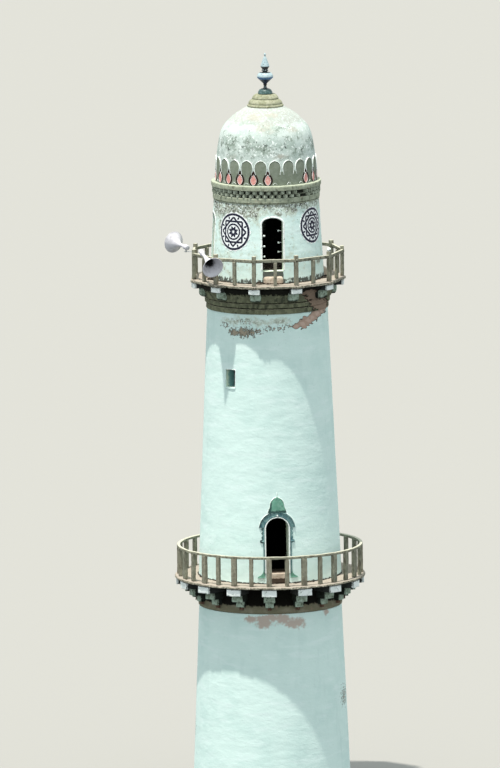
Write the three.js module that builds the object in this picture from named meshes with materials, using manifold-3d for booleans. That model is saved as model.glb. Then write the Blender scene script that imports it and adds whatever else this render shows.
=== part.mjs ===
// Minaret of plastered masonry with two balconies, a domed lantern stage and a turned finial.
// Millimetres, +Z up, origin on the ground at the centre of the tower. The balcony doors face -Y.
// Azimuths are in degrees from the door side, growing towards +X.

import * as THREE from 'three';
import { mergeVertices } from 'three/addons/utils/BufferGeometryUtils.js';
import Module from 'manifold-3d';

const wasm = await Module();
wasm.setup();

// Driving dimensions: heights above the ground
const groundSlabTop = 150;
const corbelCourseFoot = 5680;
const lowerBalconyUnder = 6500;
const lowerBalconyTop = 6600;
const mouldingFoot = 14530;
const upperBalconyUnder = 15330;
const upperBalconyTop = 15440;
const drumFloorTop = 15790;
const drumTop = 17750;
const domeFoot = 18310;
const domeTop = 20470;
const finialFoot = 20840;

// Driving dimensions: radii of the tower
const footRadius = 2340;
const baseTopRadius = 2070;
const mainFootRadius = 2110;
const mainTopRadius = 1743;
const drumFootRadius = 1680;
const drumTopRadius = 1550;
const corniceInner = 1200;
const lowerSlabRadius = 2820;
const upperSlabRadius = 2335;

// Driving dimensions: the eight-sided stair shaft inside, measured to its corners
const baseShaft = 1400;
const mainShaft = 1330;
const drumShaft = 1280;
const shaftSlope = Math.tan(Math.PI / 8);

// Driving dimensions: doorways and window
const entrance = { halfWidth: 400, springing: 2050, rise: 400 };
const mainDoor = { halfWidth: 340, springing: 8190, rise: 340 };
const drumDoor = { halfWidth: 310, springing: 17180, rise: 180 };
const blindDepth = 150;
const mainThresholdTop = 6900;
const window1 = { azimuth: -43.2, halfWidth: 175, sill: 12350, head: 12870 };

// Driving dimensions: lower balcony, round
const lowerRail = { outer: 2750, inner: 2630, under: 7396, top: 7496 };
const lowerPost = { radius: 2690, count: 32, depth: 115, wide: 170, narrow: 125 };
const lowerSpacing = 360 / lowerPost.count;
const corbelAzimuth = -7;
const corbelRoot = 1870;
const corbelSpacing = 2 * lowerSpacing;
const corbelTiers = [
  { width: 450, top: 6500, foot: 6270, front: 2780 },
  { width: 350, top: 6270, foot: 6070, front: 2520 },
  { width: 270, top: 6070, foot: 5890, front: 2310 },
  { width: 135, top: 5890, foot: 5790, front: 2220 },
];

// Driving dimensions: upper balcony, eleven-sided
const sides = 11;
const sideAngle = 360 / sides;
const upperRail = { radius: 2285, width: 85, under: 16116, top: 16226 };
const upperPost = { radius: 2213, size: 125, top: 16330, knobRadius: 62 };
const balusterSize = 110;
const knobSeat = 43;
// The one post that still has its ball, counted from the post left of the door
const knobPost = 2;
const bracketRoot = 1830;
const bracketTiers = [
  { width: 350, top: 15330, foot: 15170, front: 2270 },
  { width: 340, top: 15170, foot: 14910, front: 2050 },
];

// Loudspeaker horns: rear end, direction, length and side of the railing counted from the front
const horn1 = { rear: [-2057, -951, 16352], towards: [0.2354, -0.9093, -0.343], length: 1059, side: -2 };
const horn2 = { rear: [-2356, -191, 16350], towards: [-0.4645, 0.877, 0.1217], length: 760, side: -3 };
const hornMouthRadius = 320;
const hornDriver = { radius: 75, length: 190 };
const hornThroat = { radius: 45, at: 260 };
const hornWall = 14;

const flarePower = 2.2;
const bracketPlate = { halfWidth: 35, inset: 60, thickness: 20 };

// Painted relief round the lower balcony door
const surround = { relief: 45, opening: 345, bandRadius: 540, bandFoot: 60, capHalf: 250 };

// Common values
const gap = 0.3;
const overlap = 20;
const mouldingStep = 30;
const archInset = 10;
const segments = 48;
const finialSegments = 16;
const hornSegments = 16;
const flareSteps = 6;
const reach = 4000;

function radians(degrees) {
  return degrees * Math.PI / 180;
}

// Solids and geometries
function toSolid(geometry) {
  geometry.deleteAttribute('normal');
  geometry.deleteAttribute('uv');
  const merged = mergeVertices(geometry, 0.001);
  const corners = merged.index.array;
  const kept = [];
  for (let i = 0; i < corners.length; i += 3) {
    const [a, b, c] = [corners[i], corners[i + 1], corners[i + 2]];
    if (a !== b && b !== c && a !== c) {
      kept.push(a, b, c);
    }
  }
  const vertProperties = new Float32Array(merged.attributes.position.array);
  const triVerts = new Uint32Array(kept);
  return new wasm.Manifold(new wasm.Mesh({ numProp: 3, vertProperties, triVerts }));
}

function toGeometry(solid) {
  const mesh = solid.getMesh();
  const geometry = new THREE.BufferGeometry();
  geometry.setAttribute('position', new THREE.BufferAttribute(mesh.vertProperties, 3));
  geometry.setIndex(new THREE.BufferAttribute(mesh.triVerts, 1));
  geometry.computeVertexNormals();
  return geometry;
}

function turned(profile, count = segments) {
  const points = profile.map(([r, z]) => new THREE.Vector2(r, z));
  return toSolid(new THREE.LatheGeometry(points, count).rotateX(Math.PI / 2));
}

function ring(profile, count = segments) {
  return turned([...profile, profile[0]], count);
}

function disc(footR, topR, z0, z1) {
  return turned([[0, z0], [footR, z0], [topR, z1], [0, z1]]);
}

function block(x0, x1, y0, y1, z0, z1) {
  const geometry = new THREE.BoxGeometry(x1 - x0, y1 - y0, z1 - z0);
  return toSolid(geometry.translate((x0 + x1) / 2, (y0 + y1) / 2, (z0 + z1) / 2));
}

function outline(points) {
  return new THREE.Shape(points.map(([x, y]) => new THREE.Vector2(x, y)));
}

// An upright prism over an outline drawn on the ground
function prism(shape, z0, z1) {
  const geometry = new THREE.ExtrudeGeometry(shape, { depth: z1 - z0, bevelEnabled: false });
  return toSolid(geometry.translate(0, 0, z0));
}

// A prism over an outline drawn on the door side, running from the axis outwards
function frontPrism(shape, azimuth = 0, depth = reach, curveSegments = 12) {
  const geometry = new THREE.ExtrudeGeometry(shape, { depth, bevelEnabled: false, curveSegments });
  return toSolid(geometry.rotateX(Math.PI / 2).rotateZ(radians(azimuth)));
}

// A block standing out at an azimuth, between two distances from the axis
function standingOut(azimuth, width, near, far, z0, z1) {
  const geometry = new THREE.BoxGeometry(width, far - near, z1 - z0);
  geometry.translate(0, -(near + far) / 2, (z0 + z1) / 2);
  return toSolid(geometry.rotateZ(radians(azimuth)));
}

function polygon(radius, count, firstAzimuth) {
  const points = [];
  for (let i = 0; i < count; i += 1) {
    const angle = radians(firstAzimuth + i * 360 / count);
    points.push([radius * Math.sin(angle), -radius * Math.cos(angle)]);
  }
  return outline(points);
}

function joined(solids) {
  return solids.reduce((whole, piece) => whole.add(piece));
}

// Materials
const limewash = { color: 0xd3ece1, roughness: 0.9, metalness: 0 };
const domePlaster = { color: 0xe0e8df, roughness: 0.9, metalness: 0 };
const khakiPlaster = { color: 0x96967a, roughness: 0.95, metalness: 0 };
const greyCement = { color: 0x9a9684, roughness: 0.95, metalness: 0 };
const paintedCorbel = { color: 0xb4cdbe, roughness: 0.9, metalness: 0 };
const reliefGreen = { color: 0x5a8c82, roughness: 0.85, metalness: 0 };
const finialGlaze = { color: 0x6ea596, roughness: 0.45, metalness: 0 };
const hornPaint = { color: 0xc8c3cd, roughness: 0.5, metalness: 0.2 };
const galvanized = { color: 0x9aa0a3, roughness: 0.5, metalness: 0.8 };

const minaret = new THREE.Group();

function place(name, solid, look) {
  const mesh = new THREE.Mesh(toGeometry(solid), new THREE.MeshStandardMaterial(look));
  mesh.name = name;
  minaret.add(mesh);
}

// Round walls in quarters, with straight jambs where a doorway stands between two quarters
const quarters = [
  { name: 'front_right', x: 1, y: -1 },
  { name: 'back_right', x: 1, y: 1 },
  { name: 'back_left', x: -1, y: 1 },
  { name: 'front_left', x: -1, y: -1 },
];

function quarterBlock(quarter, insetX, insetY, z0, z1) {
  const xs = quarter.x > 0 ? [insetX, reach] : [-reach, -insetX];
  const ys = quarter.y > 0 ? [insetY, reach] : [-reach, -insetY];
  return block(xs[0], xs[1], ys[0], ys[1], z0, z1);
}

function radiusAt(z, footR, topR, z0, z1) {
  return footR + (topR - footR) * (z - z0) / (z1 - z0);
}

// The part of a tapered, eight-sided-inside wall between two heights
function wallRing(footR, topR, shaftR, z0, z1) {
  return disc(footR, topR, z0, z1).subtract(prism(polygon(shaftR, 8, 0), z0 - 1, z1 + 1));
}

function archShape(door, sill) {
  const shape = new THREE.Shape();
  const half = door.halfWidth - archInset;
  shape.moveTo(-half, sill);
  shape.lineTo(half, sill);
  shape.lineTo(half, door.springing);
  shape.absellipse(0, door.springing, half, door.rise, 0, Math.PI, false);
  shape.lineTo(-half, sill);
  return shape;
}

// The flat inner face of the wall beside a doorway
function innerFace(door, shaftR) {
  return shaftR - door.halfWidth * shaftSlope;
}

// The panel over a doorway, between its jambs, with an arched underside and a flat inner face
function headPanel(wall, door, shaftR, azimuth, z0, z1) {
  const near = innerFace(door, shaftR);
  const strip = standingOut(azimuth, 2 * (door.halfWidth - gap), near, reach, door.springing, z1);
  return wall.intersect(strip).subtract(frontPrism(archShape(door, z0), azimuth));
}

// Ground slab and base storey, with the entrance at the back
function addBase() {
  const z0 = groundSlabTop + gap;
  const z1 = corbelCourseFoot - gap;
  place('ground_slab', disc(footRadius, footRadius, 0, groundSlabTop), greyCement);
  const topR = radiusAt(z1, footRadius, baseTopRadius, 0, lowerBalconyUnder);
  const wall = wallRing(footRadius, topR, baseShaft, z0, z1);
  for (const quarter of quarters) {
    const inset = quarter.y > 0 ? entrance.halfWidth : gap / 2;
    const piece = wall.intersect(quarterBlock(quarter, inset, gap / 2, z0 - 1, z1 + 1));
    place(`base_wall_${quarter.name}`, piece, limewash);
  }
  place('entrance_head', headPanel(wall, entrance, baseShaft, 180, z0, z1), limewash);
}

// Corbel course in quarters, each with four stepped corbels under the lower balcony
function corbel(azimuth) {
  const top = lowerBalconyUnder - gap;
  return joined(corbelTiers.map((tier) =>
    standingOut(azimuth, tier.width, corbelRoot, tier.front, tier.foot, Math.min(tier.top + overlap, top))));
}

function addCorbelCourse() {
  const z0 = corbelCourseFoot;
  const z1 = lowerBalconyUnder - gap;
  const footR = radiusAt(z0, footRadius, baseTopRadius, 0, lowerBalconyUnder) + mouldingStep;
  const wall = wallRing(footR, baseTopRadius + mouldingStep, baseShaft, z0, z1);
  quarters.forEach((quarter, index) => {
    const band = wall.intersect(quarterBlock(quarter, gap / 2, gap / 2, z0 - 1, z1 + 1));
    const corbels = [];
    for (let i = 1; i <= 4; i += 1) {
      corbels.push(corbel(corbelAzimuth + index * 90 + i * corbelSpacing));
    }
    place(`corbel_course_${quarter.name}`, joined([band, ...corbels]), paintedCorbel);
  });
}

// Lower balcony: round slab, and a railing in four runs that each start at a wide post
function addLowerBalcony() {
  const slab = disc(lowerSlabRadius, lowerSlabRadius, lowerBalconyUnder, lowerBalconyTop);
  place('lower_balcony_slab', slab, greyCement);
  const { outer, inner, under, top } = lowerRail;
  const rail = ring([[inner, under], [outer, under], [outer, top], [inner, top]]);
  const foot = lowerBalconyTop + gap;
  const perRun = lowerPost.count / 4;
  quarters.forEach((quarter, index) => {
    const first = corbelAzimuth + index * 90;
    const endAngle = Math.asin((lowerPost.wide / 2 + gap) / inner);
    const run = outline([
      [0, 0],
      ...[0, 0.5, 1].map((t) => {
        const angle = radians(first + t * 90) - endAngle;
        return [reach * Math.sin(angle), -reach * Math.cos(angle)];
      }),
    ]);
    const pieces = [rail.intersect(prism(run, under - 1, top + 1))];
    for (let i = 0; i < perRun; i += 1) {
      const width = i % 2 === 0 ? lowerPost.wide : lowerPost.narrow;
      const near = lowerPost.radius - lowerPost.depth / 2;
      const far = lowerPost.radius + lowerPost.depth / 2;
      const azimuth = first + i * lowerSpacing;
      pieces.push(standingOut(azimuth, width, near, far, foot, under + overlap));
    }
    const start = standingOut(first, lowerPost.wide, inner, outer, under, top);
    place(`lower_railing_${quarter.name}`, joined([...pieces, start]), greyCement);
  });
}

// Main stage: four quarters, the one with the window divided above, below and beside it
function addMainStage() {
  const z0 = lowerBalconyTop + gap;
  const z1 = upperBalconyUnder - gap;
  const wall = wallRing(mainFootRadius, mainTopRadius, mainShaft, z0, z1);
  for (const quarter of quarters) {
    const inset = quarter.y < 0 ? mainDoor.halfWidth : gap / 2;
    const whole = wall.intersect(quarterBlock(quarter, inset, gap / 2, z0 - 1, z1 + 1));
    if (quarter.name !== 'front_left') {
      place(`main_wall_${quarter.name}`, whole, limewash);
      continue;
    }
    const between = (low, high) => whole.intersect(block(-reach, reach, -reach, reach, low, high));
    place('main_wall_front_left', between(z0 - 1, window1.sill - gap), limewash);
    place('main_wall_over_window', between(window1.head + gap, z1 + 1), limewash);
    const middle = between(window1.sill, window1.head);
    for (const [name, sign] of [['window_cheek_left', -1], ['window_cheek_right', 1]]) {
      const half = new THREE.BoxGeometry(reach, 2 * reach, 2 * reach);
      half.translate(sign * (reach / 2 + window1.halfWidth), 0, window1.sill);
      place(name, middle.intersect(toSolid(half.rotateZ(radians(window1.azimuth)))), limewash);
    }
  }
  place('door_head', headPanel(wall, mainDoor, mainShaft, 0, z0, z1), limewash);
  const near = innerFace(mainDoor, mainShaft);
  const sill = standingOut(0, 2 * (mainDoor.halfWidth - gap), near, reach, z0, mainThresholdTop);
  place('door_threshold', wall.intersect(sill), greyCement);
}

// Painted relief round the lower balcony door: colonnettes, arch band and a small domed cap
function surroundShape() {
  const side = [
    [345, 6755], [600, 6755], [600, 6775], [500, 6830], [440, 6900], [420, 6970],
    [420, 7770], [510, 7800], [510, 7870], [430, 7900], [470, 7950], [425, 8010],
    [470, 8070], [425, 8130], [470, 8190], [450, 8250], [536, 8250],
  ];
  const capSide = [
    [surround.capHalf, 8710], [228, 8780], [196, 8860], [184, 8950], [108, 9080], [12, 9150], [10, 9290],
  ];
  const { opening, bandRadius, bandFoot, capHalf } = surround;
  const { springing } = mainDoor;
  const meet = Math.acos(capHalf / bandRadius);
  const lift = Math.asin(bandFoot / bandRadius);
  const shape = new THREE.Shape();
  side.forEach(([x, z], index) => (index === 0 ? shape.moveTo(x, z) : shape.lineTo(x, z)));
  shape.absarc(0, springing, bandRadius, lift, meet, false);
  capSide.forEach(([x, z]) => shape.lineTo(x, z));
  capSide.reverse().forEach(([x, z]) => shape.lineTo(-x, z));
  shape.absarc(0, springing, bandRadius, Math.PI - meet, Math.PI - lift, false);
  side.reverse().forEach(([x, z]) => shape.lineTo(-x, z));
  shape.lineTo(-opening, springing);
  shape.absarc(0, springing, opening, Math.PI, 0, true);
  return shape;
}

// The outer face of the main stage at a height
function mainRadius(z) {
  return radiusAt(z, mainFootRadius, mainTopRadius, lowerBalconyTop, upperBalconyUnder);
}

function addDoorSurround() {
  const z0 = lowerBalconyTop;
  const z1 = mouldingFoot;
  const outer = disc(mainRadius(z0) + surround.relief, mainRadius(z1) + surround.relief, z0, z1);
  const inner = disc(mainRadius(z0) + gap, mainRadius(z1) + gap, z0, z1);
  place('door_surround', outer.subtract(inner).intersect(frontPrism(surroundShape())), reliefGreen);
}

// Rings, cove and a bracket under each corner of the upper balcony
function addUpperCove() {
  const top = upperBalconyUnder - gap;
  const cove = ring([
    [mainRadius(mouldingFoot) + gap, mouldingFoot], [1810, 14535], [1810, 14690], [1788, 14690],
    [1788, 14710], [1850, 14710], [1850, 14850], [1815, 14850], [1815, 14870], [1900, 14870],
    [1925, 15000], [1985, 15150], [2080, 15260], [2080, top], [mainRadius(top) + gap, top],
  ]);
  const pieces = [cove];
  for (let i = 0; i < sides; i += 1) {
    const azimuth = sideAngle / 2 + i * sideAngle;
    for (const { width, top: high, foot, front } of bracketTiers) {
      pieces.push(standingOut(azimuth, width, bracketRoot, front, foot, Math.min(high + overlap, top)));
    }
  }
  place('upper_cove', joined(pieces), khakiPlaster);
}

// Upper balcony: eleven-sided slab, and a straight railing in four runs of three or two sides
function addUpperBalcony() {
  const slab = prism(polygon(upperSlabRadius, sides, sideAngle / 2), upperBalconyUnder, upperBalconyTop);
  place('upper_balcony_slab', slab, greyCement);
  const { radius, width, under, top } = upperRail;
  const flat = Math.cos(radians(sideAngle / 2));
  const rails = prism(polygon(radius, sides, sideAngle / 2), under, top)
    .subtract(prism(polygon(radius - width / flat, sides, sideAngle / 2), under - 1, top + 1));
  const foot = upperBalconyTop + gap;
  const half = upperPost.size / 2;
  const near = radius * flat - (width + balusterSize) / 2;
  const fullRun = Math.ceil(sides / quarters.length);
  quarters.forEach((quarter, index) => {
    const first = (index * fullRun - 0.5) * sideAngle;
    const run = Math.min(fullRun, sides - index * fullRun);
    const postRoom = upperPost.size + 2 * gap;
    const nextPost = standingOut(first + run * sideAngle, postRoom, 0, reach, under - 1, top + 1);
    const ends = [0, 0.5, 1].map((t) => {
      const angle = radians(first + t * run * sideAngle);
      return [reach * Math.sin(angle), -reach * Math.cos(angle)];
    });
    const span = outline([...ends, [0, 0]]);
    const pieces = [rails.intersect(prism(span, under - 1, top + 1)).subtract(nextPost)];
    for (let i = 0; i < run; i += 1) {
      const azimuth = first + i * sideAngle;
      pieces.push(standingOut(azimuth, upperPost.size, upperPost.radius - half, upperPost.radius + half,
        foot, upperPost.top));
      const middle = azimuth + sideAngle / 2;
      pieces.push(standingOut(middle, balusterSize, near, near + balusterSize, foot, under + overlap));
      if (index * fullRun + i === knobPost) {
        const knob = new THREE.SphereGeometry(upperPost.knobRadius, 8, 6).rotateX(Math.PI / 2);
        knob.translate(0, -upperPost.radius, upperPost.top + knobSeat);
        pieces.push(toSolid(knob.rotateZ(radians(azimuth))));
      }
    }
    place(`upper_railing_${quarter.name}`, joined(pieces), greyCement);
  });
}

// Drum: raised floor, four piers and an arched head over each doorway, the back one walled up as a niche
function addDrum() {
  const z0 = drumFloorTop + gap;
  const z1 = drumTop - gap;
  const floorTopR = radiusAt(drumFloorTop, drumFootRadius, drumTopRadius, upperBalconyTop, drumTop);
  place('drum_floor', disc(drumFootRadius, floorTopR, upperBalconyTop + gap, drumFloorTop), greyCement);
  const wall = wallRing(floorTopR, drumTopRadius, drumShaft, z0, z1);
  const inset = drumDoor.halfWidth;
  for (const quarter of quarters) {
    const pier = wall.intersect(quarterBlock(quarter, inset, inset, z0 - 1, z1 + 1));
    place(`drum_pier_${quarter.name}`, pier, limewash);
  }
  ['front', 'right', 'back', 'left'].forEach((name, index) => {
    const azimuth = index * 90;
    const head = headPanel(wall, drumDoor, drumShaft, azimuth, z0, z1);
    const near = innerFace(drumDoor, drumShaft);
    const infillTop = drumDoor.springing + drumDoor.rise + overlap;
    const infill = standingOut(azimuth, 2 * (inset - gap), near, near + blindDepth, z0, infillTop);
    place(`drum_head_${name}`, name === 'back' ? head.add(infill) : head, limewash);
  });
}

// Cornice, dome, stepped base and finial, all turned
function addTop() {
  const corniceTop = domeFoot - gap;
  const cornice = ring([
    [corniceInner, drumTop], [1580, drumTop], [1580, 17940], [1600, 17950], [1600, 18180], [1625, 18195],
    [1625, corniceTop], [corniceInner, corniceTop],
  ]);
  place('cornice', cornice, khakiPlaster);
  const dome = turned([
    [0, 20320], [500, 20290], [850, 20130], [1090, 19880], [1220, 19540], [1280, 19180], [1310, 18830],
    [1330, domeFoot], [1490, domeFoot], [1470, 18830], [1440, 19180], [1380, 19540], [1338, 19720],
    [1250, 19900], [1100, 20080], [912, 20250], [618, 20430], [540, domeTop], [0, domeTop],
  ]);
  place('dome', dome, domePlaster);
  const baseFoot = domeTop + gap;
  const steppedBase = turned([
    [0, baseFoot], [540, baseFoot], [540, 20525], [505, 20550], [505, 20580], [485, 20625],
    [420, 20685], [392, 20695], [396, 20720], [382, 20755], [345, 20805], [295, finialFoot - gap],
    [0, finialFoot - gap],
  ]);
  place('finial_base', steppedBase, khakiPlaster);
  const finial = turned([
    [0, finialFoot], [220, finialFoot], [212, 20890], [165, 20970], [60, 21010], [44, 21050],
    [44, 21100], [62, 21118], [48, 21140], [190, 21275], [232, 21310], [240, 21370], [215, 21425],
    [160, 21472], [60, 21490], [98, 21520], [98, 21540], [72, 21555], [118, 21620], [134, 21655],
    [92, 21780], [46, 21910], [15, 21956], [33, 22000], [12, 22030], [0, 22055],
  ], finialSegments);
  place('finial', finial, finialGlaze);
}

// Loudspeaker horns: a driver can, a throat and a flared bell with an open mouth
function hornPlacement(horn) {
  const up = new THREE.Vector3(0, 0, 1);
  const turn = new THREE.Quaternion().setFromUnitVectors(up, new THREE.Vector3(...horn.towards).normalize());
  return new THREE.Matrix4().compose(new THREE.Vector3(...horn.rear), turn, new THREE.Vector3(1, 1, 1));
}

function hornSolid(horn) {
  const mouth = hornMouthRadius;
  const { length } = horn;
  const flare = (t) => hornThroat.radius + (mouth - hornThroat.radius) * t ** flarePower;
  const outer = [];
  const inner = [];
  for (let i = 0; i <= flareSteps; i += 1) {
    const t = i / flareSteps;
    const along = hornThroat.at + (length - hornThroat.at) * t;
    outer.push([flare(t), along]);
    inner.push([flare(t) - hornWall, along + (t === 0 ? hornWall : 0)]);
  }
  const profile = [
    [0, 0], [hornDriver.radius, 0], [hornDriver.radius, hornDriver.length],
    [hornThroat.radius, hornDriver.length + hornWall],
    ...outer, ...inner.reverse(), [0, hornThroat.at + hornWall],
  ];
  const points = profile.map(([r, along]) => new THREE.Vector2(r, along));
  const geometry = new THREE.LatheGeometry(points, hornSegments).rotateX(Math.PI / 2);
  return toSolid(geometry.applyMatrix4(hornPlacement(horn)));
}

// A plate on the rail and a saddle that holds the driver can
function hornBracket(horn) {
  const direction = new THREE.Vector3(...horn.towards).normalize();
  const held = new THREE.Vector3(...horn.rear).addScaledVector(direction, hornDriver.length / 2);
  const turnAngle = horn.side * sideAngle;
  held.applyAxisAngle(new THREE.Vector3(0, 0, 1), -radians(turnAngle));
  const { halfWidth, inset, thickness } = bracketPlate;
  const plateFoot = upperRail.top + gap;
  const near = upperRail.radius * Math.cos(radians(sideAngle / 2)) - upperRail.width;
  const left = held.x - halfWidth;
  const right = held.x + halfWidth;
  const plate = block(left, right, held.y - inset, -near, plateFoot, plateFoot + thickness);
  const saddle = block(left, right, held.y - inset, held.y + inset, plateFoot, held.z);
  const canRadius = hornDriver.radius + gap;
  const can = new THREE.CylinderGeometry(canRadius, canRadius, 3 * hornDriver.length, hornSegments);
  const cut = toSolid(can.rotateX(Math.PI / 2).applyMatrix4(hornPlacement(horn)));
  return plate.add(saddle).rotate([0, 0, turnAngle]).subtract(cut);
}

function addHorns() {
  place('horn_1', hornSolid(horn1), hornPaint);
  place('horn_2', hornSolid(horn2), hornPaint);
  place('horn_bracket_1', hornBracket(horn1), galvanized);
  place('horn_bracket_2', hornBracket(horn2), galvanized);
}

addBase();
addCorbelCourse();
addLowerBalcony();
addMainStage();
addDoorSurround();
addUpperCove();
addUpperBalcony();
addDrum();
addTop();
addHorns();

export default minaret;
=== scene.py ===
# Minaret of limewashed masonry: two railed balconies, painted drum, petalled dome and a glazed finial.
# Metres, +Z up. An azimuth is in degrees from the door side (-Y), growing towards +X.

import bmesh
import bpy
import math
from mathutils import Matrix, Vector, noise
from mathutils.geometry import delaunay_2d_cdt


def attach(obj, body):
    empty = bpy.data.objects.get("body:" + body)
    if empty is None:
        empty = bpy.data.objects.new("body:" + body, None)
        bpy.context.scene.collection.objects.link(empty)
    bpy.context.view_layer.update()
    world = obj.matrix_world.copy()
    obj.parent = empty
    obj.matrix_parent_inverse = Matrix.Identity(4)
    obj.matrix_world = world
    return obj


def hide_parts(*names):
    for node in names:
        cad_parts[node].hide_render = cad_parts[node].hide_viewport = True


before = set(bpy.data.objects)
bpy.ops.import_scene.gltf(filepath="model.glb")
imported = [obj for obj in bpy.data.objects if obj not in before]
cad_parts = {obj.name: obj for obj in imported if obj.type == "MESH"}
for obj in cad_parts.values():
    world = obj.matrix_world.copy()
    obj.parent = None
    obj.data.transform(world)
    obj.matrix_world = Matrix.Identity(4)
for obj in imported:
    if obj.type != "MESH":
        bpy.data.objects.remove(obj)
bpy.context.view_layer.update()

quarters = ('front_right', 'back_right', 'back_left', 'front_left')
tower = {
    'baseFoot': 0.15, 'bandFoot': 5.68, 'lowerUnder': 6.5, 'lowerTop': 6.6, 'upperUnder': 15.33,
    'upperTop': 15.44, 'drumFoot': 15.79, 'drumTop': 17.75, 'domeFoot': 18.31, 'domeTop': 20.47,
    'finialFoot': 20.84,
}
tapers = [  # of the walls: top of the stage, foot, radius there, how much it narrows over which height
    (tower['lowerUnder'], 0, 2.34, 0.27, 6.5), (tower['upperUnder'], tower['lowerTop'], 2.11, 0.367, 8.73),
    (tower['finialFoot'], tower['upperTop'], 1.68, 0.13, 2.31)]


def towerRadius(z):  # outer face of the walls at a height
    for top, foot, radius, narrowing, height in tapers:
        if z < top:
            break
    return radius - narrowing * (z - foot) / height


# Nodes

def linear(hexColour):
    values = [int(hexColour[i:i + 2], 16) / 255 for i in (1, 3, 5)]
    return tuple(v / 12.92 if v <= 0.04045 else ((v + 0.055) / 1.055) ** 2.4 for v in values) + (1.0,)


def addNode(tree, kind, settings=None, links=None):
    node = tree.nodes.new(kind)
    for key, value in (settings or {}).items():
        if isinstance(key, str) and hasattr(node, key):
            setattr(node, key, value)
        else:
            node.inputs[key].default_value = value
    for key, source in (links or {}).items():
        tree.links.new(source, node.inputs[key])
    return node


# A coat is a colour with layers laid over it, each where its mask is on: size in metres, low and high of
# the noise that switch it on, cover, stretch along x y z, where = a painted field that lets it through and
# spread = how strongly, facing = 1 for tops and -1 for undersides, between = a span of heights,
# tone = a copy's own random tone, cells = spangle in place of noise, depth = how far the layer sinks.
# Two layers with one seed share their noise, so a dark outline runs round the lighter middle of a loss.
# Bumps are (size, depth, stretch) in metres.
def layer(colour, size, low, high, cover=1.0, **more):
    return {'colour': colour, 'size': size, 'low': low, 'high': high, 'cover': cover, **more}


def grainAt(tree, place, size, stretch, offset, detail=3, rough=0.5, cells=False):
    mapped = addNode(tree, 'ShaderNodeMapping', {
        'Scale': tuple(1 / (size * s) for s in stretch), 'Location': offset}, {'Vector': place})
    links = {'Vector': mapped.outputs[0]}
    if cells:
        return addNode(tree, 'ShaderNodeTexVoronoi', {'Scale': 1.0}, links).outputs[0]
    settings = {'Scale': 1.0, 'Detail': detail, 'Roughness': rough}
    return addNode(tree, 'ShaderNodeTexNoise', settings, links).outputs[0]


def layerMask(tree, place, up, look, index):
    def plus(value, source, factor, offset):
        part = addNode(tree, 'ShaderNodeMath', {'operation': 'MULTIPLY_ADD', 1: factor, 2: offset},
                       {0: source})
        total = addNode(tree, 'ShaderNodeMath', {'operation': 'ADD'}, {0: value, 1: part.outputs[0]})
        return total.outputs[0]

    seed = look.get('seed', index)
    value = grainAt(tree, place, look['size'], look.get('stretch', (1, 1, 1)),
                    (7.3 * seed, 3.1 * seed, 1.7), look.get('detail', 4), look.get('rough', 0.55),
                    look.get('cells'))
    if 'tone' in look:
        value = addNode(tree, 'ShaderNodeAttribute', {'attribute_name': 'tone'}).outputs['Fac']
    if 'where' in look:
        field = addNode(tree, 'ShaderNodeAttribute', {'attribute_name': look['where']}).outputs['Fac']
        spread = look.get('spread', 1.0)
        value = plus(value, field, spread, -spread)
    if 'facing' in look:
        value = plus(value, up, look['facing'], -0.5)
    if 'between' in look:
        height = addNode(tree, 'ShaderNodeSeparateXYZ', links={0: place}).outputs['Z']
        low, high = look['between']
        value = addNode(tree, 'ShaderNodeMath', {
            'operation': 'COMPARE', 1: (low + high) / 2, 2: (high - low) / 2}, {0: height}).outputs[0]
    return addNode(tree, 'ShaderNodeMapRange', {
        'interpolation_type': 'SMOOTHSTEP', 'From Min': look['low'], 'From Max': look['high'],
        'To Max': look['cover']}, {'Value': value}).outputs[0]


def coat(name, base, roughness, layers, bumps=(), sheen=0.12, metallic=0.0):
    material = bpy.data.materials.new(name)
    material.use_nodes = True
    tree = material.node_tree
    tree.nodes.clear()
    place = addNode(tree, 'ShaderNodeTexCoord').outputs['Object']
    normal = addNode(tree, 'ShaderNodeNewGeometry').outputs['Normal']
    up = addNode(tree, 'ShaderNodeSeparateXYZ', links={0: normal}).outputs['Z']
    shader = addNode(tree, 'ShaderNodeBsdfPrincipled', {
        'Base Color': linear(base), 'Roughness': roughness, 'Metallic': metallic,
        'Specular IOR Level': sheen})
    colour = None
    height = None

    def raised(height, source, factor):
        links = {0: source, 2: height} if height else {0: source}
        step = addNode(tree, 'ShaderNodeMath', {'operation': 'MULTIPLY_ADD', 1: factor, 2: 0.0}, links)
        return step.outputs[0]

    for index, look in enumerate(layers):
        mask = layerMask(tree, place, up, look, index + 1)
        mixed = addNode(tree, 'ShaderNodeMix', {
            'data_type': 'RGBA', 6: linear(base), 7: linear(look['colour'])}, {0: mask})
        if colour:
            tree.links.new(colour, mixed.inputs[6])
        colour = mixed.outputs[2]
        if 'depth' in look:
            height = raised(height, mask, -look['depth'])
    for index, (size, depth, *stretch) in enumerate(bumps):
        grain = grainAt(tree, place, size, stretch[0] if stretch else (1, 1, 1), (2.9 * index, 0, 5.3))
        height = raised(height, grain, depth)
    if colour:
        tree.links.new(colour, shader.inputs['Base Color'])
    if height:
        relief = addNode(tree, 'ShaderNodeBump', {'Strength': 1.0, 'Distance': 1.0}, {'Height': height})
        tree.links.new(relief.outputs[0], shader.inputs['Normal'])
    addNode(tree, 'ShaderNodeOutputMaterial', links={'Surface': shader.outputs[0]})
    return material


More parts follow.
